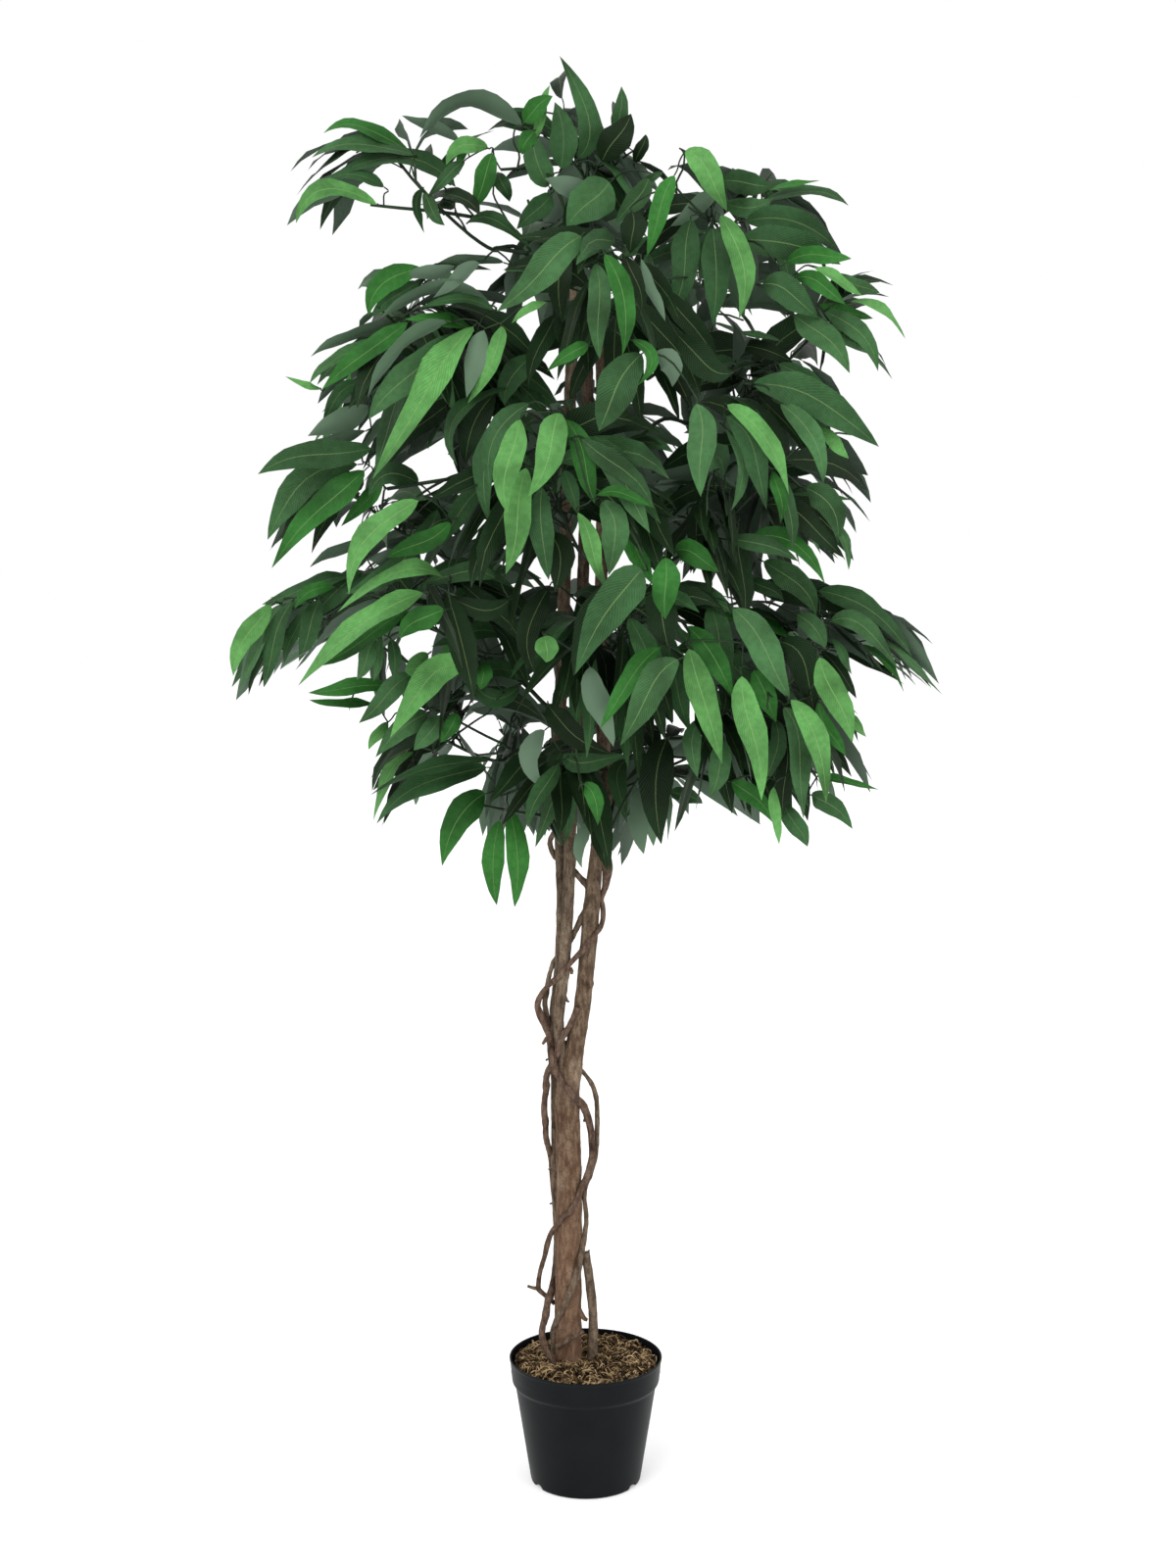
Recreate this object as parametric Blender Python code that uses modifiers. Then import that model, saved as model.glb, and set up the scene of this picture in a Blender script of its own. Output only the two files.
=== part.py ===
"""An artificial mango tree in a black nursery pot, modelled in metres with +Z up.

The origin is the centre of the pot's flat underside. The tree faces -Y, and +X is its right side.
Real wooden poles stand in the filled pot, lianas climb round them, and green plastic boughs carry
masses of twigs with long drooping leaves.
"""
import math
import random

import bmesh
import bpy
from mathutils import Quaternion, Vector
from mathutils.bvhtree import BVHTree

# Driving sizes in metres.
GAP = 0.0004              # between neighbours that touch on the real tree
POT_HEIGHT = 0.163
RIM_RADIUS = 0.0992
BAND_HEIGHT = 0.036       # the upright band under the rim
BAND_LEAN = 0.0035        # how far the band leans in towards its lower edge
BAND_STEP = 0.003         # the step from the band in to the body
FOOT_RADIUS = 0.0725
FOOT_CHAMFER = 0.006
WALL = 0.0022
FLOOR = 0.003
POT_STEPS = 32
NOTCH_BEARINGS = (-24, -156, 24, 156)   # degrees, the notches in the pot's foot
NOTCH_SIZE = (0.010, 0.008, 0.009)
COVER_TOP = 0.1545        # level of the moss, which is the tree's ground
COVER_DEPTH = 0.026
COVER_FLAT = 0.060        # radius of the flat middle that the poles stand on
COVER_DROP = 0.005        # how far the moss falls towards the wall

UPRIGHT_FOOT = 0.004      # a limb's first stretch stands straight up on its flat cut
LIANA_CLEARANCE = 0.0012
LIANA_STATION = 0.024     # spacing of the points along a liana
LIANA_TAPER = 0.28        # share of its radius that a liana loses by its tip
LIANA_SEARCH = 0.10       # a liana is brought in from this far out until it meets the wood
LIANA_STEP = 0.0004
LIANA_TURN = 0.030        # mean distance of a liana from the middle, to judge its length
BOUGH_RADII = (0.0032, 0.0024)
BOUGH_POINTS = 5
BOUGH_SQUARE = 0.010      # a bough leaves its pole square to it for this far
BOUGH_ARCH = 0.22         # how high a bough arches, over its span
DOOR_DEPTH = 0.008        # a bough ends this far inside the space of its mass
DOOR_STEP = 0.002
BOUGH_LEAST = 0.060       # a bough is at least this long, also where its mass comes close to the pole
SIDES_BOUGH = 6
SIDES_LIANA = 6
STEM_RADIUS = 0.0026
TWIG_RADIUS = 0.0022
LEAF_LENGTH = (0.160, 0.222)
LEAF_ASPECT = 0.310       # width over length
LEAF_THICKNESS = 0.0028
LEAF_WIDEST = 0.42        # share of the length where a leaf is widest, and bends
LEAF_BARE = 0.30          # share of the first stretch that may cross a neighbour at the root
LEAVES_A_TWIG = 5.5
TWIG_SHARE = (0.55, 0.85) # twig length over the least radius of its space
STEM_CREST = 0.42         # height of the stem over the centre of its space, over the radius
STEM_BEYOND = 0.30
STEM_POINTS = 5
LEAF_TRIES = 26
CELL_MARGIN = 0.0008      # each mass stays this far inside its own space
LIMB_MARGIN = 0.0012      # leaves and twigs stay this far from a limb
GOLDEN_ANGLE = math.radians(137.5)
MERGE = 2e-7              # points nearer than this are one

# Poles: height, x, y and radius at each station, from the flat cut on the moss to the tip.
GROUND = COVER_TOP + GAP
TRUNK = (
    (GROUND, -0.0235, 0.000, 0.0186),
    (0.172, -0.0230, 0.000, 0.0174),
    (0.270, -0.0222, 0.000, 0.0170),
    (0.400, -0.0212, -0.001, 0.0164),
    (0.506, -0.0240, -0.002, 0.0157),
    (0.551, -0.0175, -0.002, 0.0138),
    (0.583, -0.0127, -0.003, 0.0118),
    (0.609, -0.0063, -0.003, 0.0106),
    (0.660, -0.0004, -0.003, 0.0106),
    (0.740, 0.0062, -0.004, 0.0110),
    (0.800, 0.0115, -0.005, 0.0092),
    (0.850, 0.0168, -0.006, 0.0086),
    (0.900, 0.0262, -0.006, 0.0090),
    (1.056, 0.0175, -0.006, 0.0080),
    (1.333, 0.0224, -0.004, 0.0076),
    (1.482, 0.0175, 0.000, 0.0066),
    (1.560, 0.0100, 0.002, 0.0054),
)
LEFT_POLE = (
    (GROUND, -0.0426, 0.020, 0.0056),
    (0.345, -0.0422, 0.019, 0.0053),
    (0.527, -0.0428, 0.017, 0.0056),
    (0.579, -0.0422, 0.017, 0.0058),
    (0.656, -0.0372, 0.016, 0.0058),
    (0.720, -0.0350, 0.014, 0.0058),
    (0.833, -0.0350, 0.012, 0.0058),
    (0.909, -0.0392, 0.012, 0.0068),
    (0.939, -0.0386, 0.012, 0.0074),
    (1.009, -0.0315, 0.010, 0.0080),
    (1.400, -0.0190, 0.006, 0.0078),
    (1.530, -0.0130, 0.006, 0.0062),
)
MIDDLE_POLE = (
    (0.548, -0.0386, -0.003, 0.0060),
    (0.583, -0.0340, -0.006, 0.0068),
    (0.640, -0.0272, -0.009, 0.0072),
    (0.723, -0.0200, -0.006, 0.0076),
    (0.836, -0.0185, -0.002, 0.0078),
    (0.911, -0.0165, 0.004, 0.0070),
    (1.028, -0.0080, 0.014, 0.0078),
    (1.351, 0.0035, 0.020, 0.0074),
    (1.500, 0.0010, 0.021, 0.0064),
)
PEG = (
    (GROUND, 0.0080, -0.013, 0.0062),
    (0.2188, 0.0135, -0.011, 0.0060),
    (0.2816, 0.0075, -0.010, 0.0058),
    (0.3050, 0.0052, -0.010, 0.0056),
)
POLES = {"trunk": TRUNK, "left_pole": LEFT_POLE, "middle_pole": MIDDLE_POLE, "peg": PEG}
POLE_SIDES = {"trunk": 10, "left_pole": 8, "middle_pole": 8, "peg": 8}

# Lianas: radius, then height, bearing in degrees (0 right, 90 back, -90 front) and slack.
LIANAS = {
    "liana_main": (0.0058, (
        (GROUND, 118, 0.004), (0.225, 150, 0.004), (0.256, 182, 0.017), (0.310, 185, 0.009),
        (0.328, 200, 0.001), (0.356, 262, 0.0), (0.390, 325, 0.0), (0.421, 350, 0.006),
        (0.457, 356, 0.009), (0.478, 335, 0.002), (0.507, 300, 0.0), (0.527, 245, 0.0),
        (0.560, 202, 0.0), (0.624, 184, 0.006), (0.652, 208, 0.001), (0.684, 258, 0.0),
        (0.712, 305, 0.0), (0.745, 350, 0.003), (0.799, 362, 0.006), (0.836, 352, 0.003),
        (0.872, 318, 0.001))),
    "liana_grey": (0.0050, (
        (GROUND, 196, 0.002), (0.205, 228, 0.0), (0.245, 278, 0.0), (0.290, 312, 0.0),
        (0.333, 338, 0.0), (0.365, 376, 0.0), (0.430, 392, 0.002), (0.480, 364, 0.004),
        (0.515, 374, 0.003), (0.560, 420, 0.0), (0.620, 452, 0.0))),
    "liana_outer": (0.0045, (
        (GROUND, 62, 0.003), (0.300, 84, 0.002), (0.400, 128, 0.002), (0.450, 172, 0.004),
        (0.500, 182, 0.008), (0.545, 178, 0.003), (0.583, 174, 0.004), (0.624, 172, 0.014),
        (0.660, 164, 0.004), (0.700, 120, 0.001), (0.760, 66, 0.001), (0.815, 44, 0.0))),
    "liana_cut": (0.0050, (
        (GROUND, 178, 0.001), (0.197, 180, 0.009), (0.236, 168, 0.003), (0.280, 132, 0.002),
        (0.380, 108, 0.002), (0.470, 150, 0.002), (0.520, 176, 0.001), (0.552, 222, 0.0),
        (0.590, 262, 0.001), (0.628, 292, 0.002))),
}

# Masses of foliage. centre and radii give each mass its space. carrier and base say which pole its
# bough stands on, and how high. A mass with no bough has a longer stem that meets the pole.
MASSES = {
    # name: (centre, radii, carrier, base height, bough or not, leaves, fall of the leaves 0 to 1)
    "top": ((0.000, 0.000, 1.700), (0.135, 0.140, 0.156), "trunk", 1.560, False, 18, 0.15),
    "top_left": ((-0.215, 0.020, 1.655), (0.165, 0.140, 0.115), "left_pole", 1.505, True, 18, 0.65),
    "top_right": ((0.185, -0.040, 1.600), (0.150, 0.140, 0.130), "trunk", 1.450, True, 17, 0.70),
    "right_upper": ((0.250, -0.060, 1.420), (0.150, 0.150, 0.140), "trunk", 1.310, True, 18, 0.75),
    "front_upper": ((0.040, -0.190, 1.490), (0.140, 0.150, 0.140), "trunk", 1.390, True, 17, 0.90),
    "left_upper": ((-0.200, -0.110, 1.420), (0.175, 0.150, 0.155), "left_pole", 1.310, True, 19, 0.80),
    "left_mid": ((-0.270, 0.010, 1.235), (0.155, 0.150, 0.140), "left_pole", 1.150, True, 17, 0.65),
    "front_mid": ((-0.035, -0.210, 1.250), (0.150, 0.160, 0.150), "trunk", 1.175, True, 18, 0.90),
    "right_mid": ((0.205, -0.110, 1.260), (0.150, 0.150, 0.150), "trunk", 1.150, True, 17, 0.75),
    "left_low": ((-0.300, 0.030, 1.090), (0.155, 0.150, 0.130), "left_pole", 1.010, True, 17, 0.65),
    "front_left": ((-0.195, -0.170, 1.100), (0.150, 0.150, 0.140), "left_pole", 1.070, True, 17, 0.75),
    "left_bottom": ((-0.190, -0.050, 0.955), (0.165, 0.150, 0.125), "left_pole", 0.940, True, 16, 0.75),
    "left_tail": ((-0.120, -0.030, 0.850), (0.080, 0.100, 0.100), "left_pole", 0.870, False, 6, 1.00),
    "right_low": ((0.300, 0.000, 1.085), (0.155, 0.150, 0.125), "trunk", 1.010, True, 17, 0.65),
    "front_right": ((0.215, -0.120, 0.990), (0.155, 0.155, 0.165), "trunk", 0.970, True, 19, 0.95),
    "front_low": ((0.045, -0.190, 1.070), (0.140, 0.140, 0.150), "trunk", 1.060, False, 17, 0.95),
    "under_front": ((-0.010, -0.120, 0.910), (0.110, 0.120, 0.130), "trunk", 0.930, False, 12, 1.00),
    "under_right": ((0.100, -0.010, 0.900), (0.100, 0.120, 0.110), "trunk", 0.905, False, 10, 0.95),
    "back_top": ((-0.060, 0.170, 1.600), (0.160, 0.150, 0.140), "middle_pole", 1.465, True, 17, 0.65),
    "back_right_top": ((0.150, 0.170, 1.490), (0.150, 0.150, 0.145), "trunk", 1.375, True, 17, 0.75),
    "back_left_upper": ((-0.200, 0.180, 1.385), (0.160, 0.160, 0.150), "left_pole", 1.260, True, 17, 0.75),
    "back_upper": ((0.000, 0.240, 1.320), (0.160, 0.150, 0.150), "middle_pole", 1.220, True, 17, 0.80),
    "back_right_upper": ((0.240, 0.160, 1.270), (0.155, 0.155, 0.150), "trunk", 1.200, True, 17, 0.75),
    "back_left_mid": ((-0.210, 0.200, 1.120), (0.155, 0.155, 0.145), "left_pole", 1.090, True, 17, 0.75),
    "back_mid": ((0.010, 0.260, 1.060), (0.160, 0.140, 0.150), "middle_pole", 1.030, False, 17, 0.80),
    "back_right_mid": ((0.220, 0.190, 1.040), (0.155, 0.155, 0.145), "trunk", 0.985, True, 17, 0.75),
    "back_left_low": ((-0.100, 0.150, 0.910), (0.130, 0.130, 0.125), "left_pole", 0.915, False, 13, 0.90),
    "back_right_low": ((0.110, 0.150, 0.890), (0.130, 0.130, 0.125), "trunk", 0.880, False, 13, 0.90),
}

# Finishes: base colour, roughness.
FINISHES = {
    "black_plastic": ((0.020, 0.021, 0.023), 0.45),
    "cement": ((0.420, 0.410, 0.390), 0.90),
    "moss": ((0.105, 0.072, 0.036), 1.00),
    "red_bark": ((0.150, 0.090, 0.058), 0.85),
    "grey_bark": ((0.155, 0.120, 0.080), 0.85),
    "green_stem": ((0.040, 0.075, 0.030), 0.50),
    "leaf": ((0.065, 0.150, 0.060), 0.55),
}


def clear_scene():
    for thing in list(bpy.data.objects):
        bpy.data.objects.remove(thing)


def collection(name):
    made = bpy.data.collections.new(name)
    bpy.context.scene.collection.children.link(made)
    return made


def finish(name):
    found = bpy.data.materials.get(name)
    if found:
        return found
    colour, roughness = FINISHES[name]
    made = bpy.data.materials.new(name)
    made.use_nodes = True
    shader = made.node_tree.nodes["Principled BSDF"]
    shader.inputs["Base Color"].default_value = (*colour, 1.0)
    shader.inputs["Roughness"].default_value = roughness
    return made


def mesh_object(name, bm, material, home):
    mesh = bpy.data.meshes.new(name)
    bm.to_mesh(mesh)
    bm.free()
    mesh.materials.append(finish(material))
    made = bpy.data.objects.new(name, mesh)
    home.objects.link(made)
    return made


def turned(name, profile, material, home):
    """Turns a closed profile of (radius, height) points, top to bottom on its outer side."""
    bm = bmesh.new()
    points = [bm.verts.new((radius, 0.0, height)) for radius, height in profile]
    for first, second in zip(points, points[1:]):
        bm.edges.new((first, second))
    made = mesh_object(name, bm, material, home)
    screw = made.modifiers.new("Turn", "SCREW")
    screw.steps = POT_STEPS
    screw.render_steps = POT_STEPS
    screw.use_merge_vertices = True
    screw.merge_threshold = 0.0001
    screw.use_smooth_shade = True
    return made


def station(stations, height):
    """Centre and radius of a pole at a height, between its stations."""
    below = stations[0]
    for above in stations[1:]:
        if height <= above[0]:
            share = max(0.0, (height - below[0]) / (above[0] - below[0]))
            x, y, radius = (b + (a - b) * share for b, a in zip(below[1:], above[1:]))
            return Vector((x, y, height)), radius
        below = above
    return Vector((below[1], below[2], height)), below[3]


def smooth_points(keys, count):
    """Points at even steps through key points, on a smooth curve."""
    keys = [Vector(key) for key in keys]
    ends = [2 * keys[0] - keys[1]] + keys + [2 * keys[-1] - keys[-2]]
    points = []
    for step in range(count):
        place = step / (count - 1) * (len(keys) - 1)
        index = min(int(place), len(keys) - 2)
        t = place - index
        a, b, c, d = ends[index:index + 4]
        points.append(0.5 * (2 * b + (c - a) * t + (2 * a - 5 * b + 4 * c - d) * t * t
                             + (3 * b - a - 3 * c + d) * t ** 3))
    return points


def limb(name, points, radii, sides, material, home):
    """A round tapering limb: a curve with bevel depth and filled ends."""
    data = bpy.data.curves.new(name, "CURVE")
    data.dimensions = "3D"
    data.bevel_depth = 1.0
    data.bevel_resolution = (sides - 4) // 2
    data.use_fill_caps = True
    spline = data.splines.new("POLY")
    spline.points.add(len(points) - 1)
    for knot, point, radius in zip(spline.points, points, radii):
        knot.co = (*point, 1.0)
        knot.radius = radius
    data.materials.append(finish(material))
    made = bpy.data.objects.new(name, data)
    home.objects.link(made)
    return made


def tube_faces(points, radii, grow, sides=8):
    """Corner points and faces of a limb grown a little, for testing what touches it."""
    corners = []
    faces = []
    side = (points[1] - points[0]).orthogonal().normalized()
    for index, (point, radius) in enumerate(zip(points, radii)):
        ahead = points[min(index + 1, len(points) - 1)] - points[max(index - 1, 0)]
        ahead.normalize()
        side = (side - ahead * side.dot(ahead)).normalized()
        for turn in range(sides):
            out = Quaternion(ahead, turn * math.tau / sides) @ side
            corners.append(point + out * (radius + grow) / math.cos(math.pi / sides))
    for ring in range(len(points) - 1):
        for turn in range(sides):
            after = (turn + 1) % sides
            low = ring * sides
            faces.append((low + turn, low + after, low + sides + after, low + sides + turn))
    faces.append(tuple(range(sides)))
    faces.append(tuple(range(len(corners) - sides, len(corners))))
    return corners, faces


def skin(bm, rings):
    """Closes a run of three-cornered rings into one body. A ring of one point is a tip."""
    rows = [[bm.verts.new(point) for point in ring] for ring in rings]
    for low, high in zip(rows, rows[1:]):
        for turn in range(3):
            after = (turn + 1) % 3
            if len(low) == 1:
                bm.faces.new((low[0], high[after], high[turn]))
            elif len(high) == 1:
                bm.faces.new((low[turn], low[after], high[0]))
            else:
                bm.faces.new((low[turn], low[after], high[after]))
                bm.faces.new((low[turn], high[after], high[turn]))
    for row in (rows[0], rows[-1]):
        if len(row) == 3:
            bm.faces.new(row)
    bmesh.ops.recalc_face_normals(bm, faces=bm.faces)


def twig_rings(points, first_radius, last_radius):
    rings = []
    side = (points[1] - points[0]).orthogonal().normalized()
    for index, point in enumerate(points):
        ahead = points[min(index + 1, len(points) - 1)] - points[max(index - 1, 0)]
        ahead.normalize()
        side = (side - ahead * side.dot(ahead)).normalized()
        radius = first_radius + (last_radius - first_radius) * index / (len(points) - 1)
        rings.append([point + (Quaternion(ahead, turn * math.tau / 3) @ side) * radius
                      for turn in range(3)])
    return rings


def leaf_rings(root, direction, length, fall, roll, start=0.0):
    """A leaf leaves its twig along direction, bends down at its widest place and ends in a point.

    Its rings are a point, two edges with a keel under them, and a point.
    """
    heading = direction.normalized()
    down = Vector((0.0, 0.0, -1.0))
    axis = heading.cross(down)
    turn = min(fall, heading.angle(down, 0.0) * 0.85)
    after = Quaternion(axis, turn) @ heading if axis.length > 1e-6 else heading
    middle = root + heading * length * LEAF_WIDEST
    tip = middle + after * length * (1.0 - LEAF_WIDEST)
    ahead = (tip - root).normalized()
    level = ahead.cross(down)
    if level.length < 0.05:
        level = Vector((1.0, 0.0, 0.0))
    level = Quaternion(ahead, roll) @ level.normalized()
    above = ahead.cross(level).normalized()
    if above.z < 0.0:
        above.negate()
    half = length * LEAF_ASPECT / 2
    edges = [middle + level * half, middle - level * half, middle - above * LEAF_THICKNESS]
    return [[root.lerp(middle, start)], edges, [tip]]


def tree_of(rings):
    """A search tree over the faces of a run of rings, to test what it touches."""
    bm = bmesh.new()
    skin(bm, rings)
    found = BVHTree.FromBMesh(bm)
    bm.free()
    return found


class Space:
    """The room a mass may fill: an ellipsoid, less what lies nearer to its neighbours."""

    def __init__(self, name):
        self.centre = Vector(MASSES[name][0])
        self.radii = Vector(MASSES[name][1])
        self.walls = []
        own_size = sum(self.radii) / 3
        for other, row in MASSES.items():
            if other == name:
                continue
            far = Vector(row[0])
            size = sum(row[1]) / 3
            away = far - self.centre
            reach = away.length
            meet = (reach * reach + own_size ** 2 - size ** 2) / (2 * reach)
            self.walls.append((away.normalized(), meet - CELL_MARGIN))

    def in_cell(self, point):
        return all((point - self.centre).dot(out) < wall for out, wall in self.walls)

    def holds(self, point):
        out = point - self.centre
        share = sum((out[i] / self.radii[i]) ** 2 for i in range(3))
        return share < 1.0 and self.in_cell(point)


def make_pot(home, tools):
    band_foot = POT_HEIGHT - BAND_HEIGHT
    band_radius = RIM_RADIUS - BAND_LEAN
    body_radius = band_radius - BAND_STEP
    pot = turned("pot", (
        (RIM_RADIUS - WALL, POT_HEIGHT), (RIM_RADIUS - 0.0006, POT_HEIGHT),
        (RIM_RADIUS, POT_HEIGHT - 0.0012), (band_radius, band_foot),
        (body_radius, band_foot - 0.0015), (FOOT_RADIUS, FOOT_CHAMFER),
        (FOOT_RADIUS - FOOT_CHAMFER, 0.0), (0.0, 0.0), (0.0, FLOOR),
        (FOOT_RADIUS - FOOT_CHAMFER, FLOOR), (FOOT_RADIUS - WALL, FOOT_CHAMFER + FLOOR),
        (body_radius - WALL, band_foot), (band_radius - WALL, band_foot + 0.0015),
        (RIM_RADIUS - WALL, POT_HEIGHT)), "black_plastic", home)
    for number, bearing in enumerate(NOTCH_BEARINGS):
        bm = bmesh.new()
        bmesh.ops.create_cube(bm, size=1.0)
        bmesh.ops.scale(bm, verts=bm.verts, vec=NOTCH_SIZE)
        cutter = mesh_object(f"notch_{number}", bm, "black_plastic", tools)
        angle = math.radians(bearing)
        cutter.location = (math.cos(angle) * FOOT_RADIUS, math.sin(angle) * FOOT_RADIUS, 0.0)
        cutter.rotation_euler = (0.0, 0.0, angle)
        cutter.hide_render = True
        cutter.display_type = "WIRE"
    cut = pot.modifiers.new("Notches", "BOOLEAN")
    cut.operation = "DIFFERENCE"
    cut.operand_type = "COLLECTION"
    cut.collection = tools


def make_filling(home):
    """The cement that holds the poles, and the moss laid over it."""
    band_foot = POT_HEIGHT - BAND_HEIGHT
    band_radius = RIM_RADIUS - BAND_LEAN
    body_radius = band_radius - BAND_STEP
    low = FLOOR + GAP
    seam = COVER_TOP - COVER_DEPTH
    slope = WALL + 0.0006

    def inside(height):
        share = (height - FOOT_CHAMFER) / (band_foot - FOOT_CHAMFER)
        return FOOT_RADIUS + (body_radius - FOOT_RADIUS) * share - slope

    turned("filling", (
        (0.0, seam - GAP), (inside(seam) - 0.001, seam - GAP), (inside(0.02), 0.02),
        (FOOT_RADIUS - FOOT_CHAMFER - 0.001, low), (0.0, low)), "cement", home)
    edge = band_radius - slope
    turned("moss_cover", (
        (0.0, COVER_TOP), (COVER_FLAT, COVER_TOP), (edge - 0.012, COVER_TOP - COVER_DROP * 0.35),
        (edge, COVER_TOP - COVER_DROP), (edge - 0.001, band_foot + 0.006),
        (inside(seam) - 0.001, seam), (0.0, seam)), "moss", home)


def make_poles(home):
    lines = {}
    for name, stations in POLES.items():
        points = [Vector((x, y, height)) for height, x, y, _ in stations]
        radii = [row[3] for row in stations]
        if stations[0][0] == GROUND:
            points.insert(1, points[0] + Vector((0.0, 0.0, UPRIGHT_FOOT)))
            radii.insert(1, radii[0])
        bark = "red_bark" if name in ("trunk", "peg") else "grey_bark"
        limb(name, points, radii, POLE_SIDES[name], bark, home)
        lines[name] = (points, radii)
    return lines


def bundle_centre(height):
    """The middle of the poles at a height, each weighed by its radius."""
    height = max(height, GROUND)
    near = [station(rows, height) for name, rows in POLES.items()
            if name != "peg" and rows[0][0] <= height]
    share = sum(radius for _, radius in near)
    return sum((place * radius for place, radius in near), Vector()) / share


def make_lianas(home, lines):
    """Each liana climbs close round the bundle of poles, and round the lianas made before it."""
    for name, (radius, keys) in LIANAS.items():
        length = (keys[-1][0] - keys[0][0]) + sum(
            abs(math.radians(b[1] - a[1])) * LIANA_TURN for a, b in zip(keys, keys[1:]))
        count = int(length / LIANA_STATION) + 2
        course = smooth_points(keys, count)
        reach = []
        for height, bearing, slack in course:
            angle = math.radians(bearing)
            out = Vector((math.cos(angle), math.sin(angle), 0.0))
            centre = bundle_centre(height)
            distance = LIANA_SEARCH
            while distance > 0.0 and liana_clear(centre + out * distance, radius, lines):
                distance -= LIANA_STEP
            reach.append(distance + LIANA_STEP + max(slack, 0.0))
        for _ in range(3):
            eased = [sum(reach[max(i - 1, 0):i + 2]) / len(reach[max(i - 1, 0):i + 2])
                     for i in range(count)]
            reach = [max(a, b) for a, b in zip(reach, eased)]
        points = []
        for (height, bearing, _), distance in zip(course, reach):
            angle = math.radians(bearing)
            out = Vector((math.cos(angle), math.sin(angle), 0.0))
            points.append(bundle_centre(height) + out * distance)
        points[1].xy = points[0].xy
        radii = [radius * (1.0 - LIANA_TAPER * step / (count - 1)) for step in range(count)]
        limb(name, points, radii, SIDES_LIANA, "grey_bark", home)
        lines[name] = (points, radii)


def liana_clear(place, radius, lines):
    """Whether a liana of this radius clears the poles and the earlier lianas at this place."""
    for name, (points, radii) in lines.items():
        if name in POLES:
            rows = POLES[name]
            if rows[0][0] - radius > place.z or rows[-1][0] + radius < place.z:
                continue
            centre, size = station(rows, place.z)
            if (place - centre).length < size + radius + LIANA_CLEARANCE:
                return False
            continue
        for point, size in zip(points, radii):
            if (place - point).length < size + radius + LIANA_CLEARANCE * 1.7:
                return False
    return True


def bough_foot(carrier, height, towards):
    """Where a limb leaves its pole, square to it and just clear of it, and which way it heads."""
    centre, radius = station(POLES[carrier], height)
    out = Vector((towards.x - centre.x, towards.y - centre.y, 0.0)).normalized()
    return centre + out * (radius + 2 * GAP), out


def mass_door(space, foot):
    """The point where a bough enters the mass's space, on its way to the centre."""
    centre = space.centre
    inward = (foot - centre).normalized()
    door = centre.copy()
    while space.holds(door + inward * DOOR_DEPTH) and (foot - door).length > BOUGH_LEAST:
        door += inward * DOOR_STEP
    return door


def make_boughs(home, spaces, lines):
    """Boughs from the poles to the masses. Returns where each mass's stem begins and its heading."""
    starts = {}
    for name, (centre, _, carrier, base, has_bough, _, _) in MASSES.items():
        centre = Vector(centre)
        if name == "top":
            starts[name] = (Vector((TRUNK[-1][1], TRUNK[-1][2], base + GAP)), Vector((0, 0, 1)))
            continue
        foot, out = bough_foot(carrier, base, centre)
        if not has_bough:
            starts[name] = (foot, out)
            continue
        door = mass_door(spaces[name], foot)
        span = (door - foot).length
        arch = foot.lerp(door, 0.55) + Vector((0.0, 0.0, span * BOUGH_ARCH))
        points = smooth_points((foot, foot + out * BOUGH_SQUARE, arch, door), BOUGH_POINTS)
        points[1] = foot + out * BOUGH_SQUARE
        first, last = BOUGH_RADII
        radii = [first + (last - first) * i / (BOUGH_POINTS - 1) for i in range(BOUGH_POINTS)]
        limb(f"bough_{name}", points, radii, SIDES_BOUGH, "green_stem", home)
        lines[f"bough_{name}"] = (points, radii)
        heading = (points[-1] - points[-2]).normalized()
        starts[name] = (door + heading * GAP, heading)
    return starts


def along_line(points, share):
    """Place and heading at a share of the way along a line of points."""
    place = share * (len(points) - 1)
    index = min(int(place), len(points) - 2)
    heading = (points[index + 1] - points[index]).normalized()
    return points[index].lerp(points[index + 1], place - index), heading


def mass_stem(space, foot, heading):
    """The stem arches from its foot over the crest of the space, and the leaves hang from it."""
    centre = space.centre
    reach = (centre - foot).length
    outward = Vector((centre.x - foot.x, centre.y - foot.y, 0.0))
    if outward.length < space.radii.x / 4:
        return [foot, foot.lerp(centre, 0.1), foot.lerp(centre, 0.7), centre.copy()], heading
    outward.normalize()
    crest = centre + Vector((0.0, 0.0, space.radii.z * STEM_CREST))
    end = crest + outward * min(space.radii) * STEM_BEYOND
    knee = foot + heading * reach * 0.4
    stem = smooth_points((foot, foot + heading * 0.010, knee.lerp(crest, 0.4), end), STEM_POINTS)
    stem[1] = foot + heading * 0.008
    return stem, outward


def grow_twigs(name, space, stem, outward, count, limbs):
    """Twigs fan out level from the outer half of the stem."""
    twigs = []
    for number in range(count):
        rng = random.Random(f"{name} twig {number}")
        for attempt in range(LEAF_TRIES):
            share = 0.93 - 0.45 * number / count
            root, ahead = along_line(stem, share)
            fan = math.radians(62.0 * (number // 2 + 1) * (-1) ** number + rng.uniform(-18.0, 18.0))
            aim = Quaternion((0.0, 0.0, 1.0), fan + attempt * 0.7) @ outward
            if abs(ahead.z) > 0.8:
                aim = Quaternion((0.0, 0.0, 1.0), number * GOLDEN_ANGLE) @ Vector((1.0, 0.0, 0.8))
            aim += Vector((0.0, 0.0, rng.uniform(-0.15, 0.35)))
            length = min(space.radii) * rng.uniform(*TWIG_SHARE) * (1.0 - 0.03 * attempt)
            tip = root + aim.normalized() * length
            rings = twig_rings([root, tip], TWIG_RADIUS, TWIG_RADIUS * 0.8)
            inside = all(space.holds(point) for ring in rings for point in ring)
            if inside and not limbs.overlap(tree_of(rings)):
                twigs.append(([root, tip], rings))
                break
    return twigs


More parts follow.
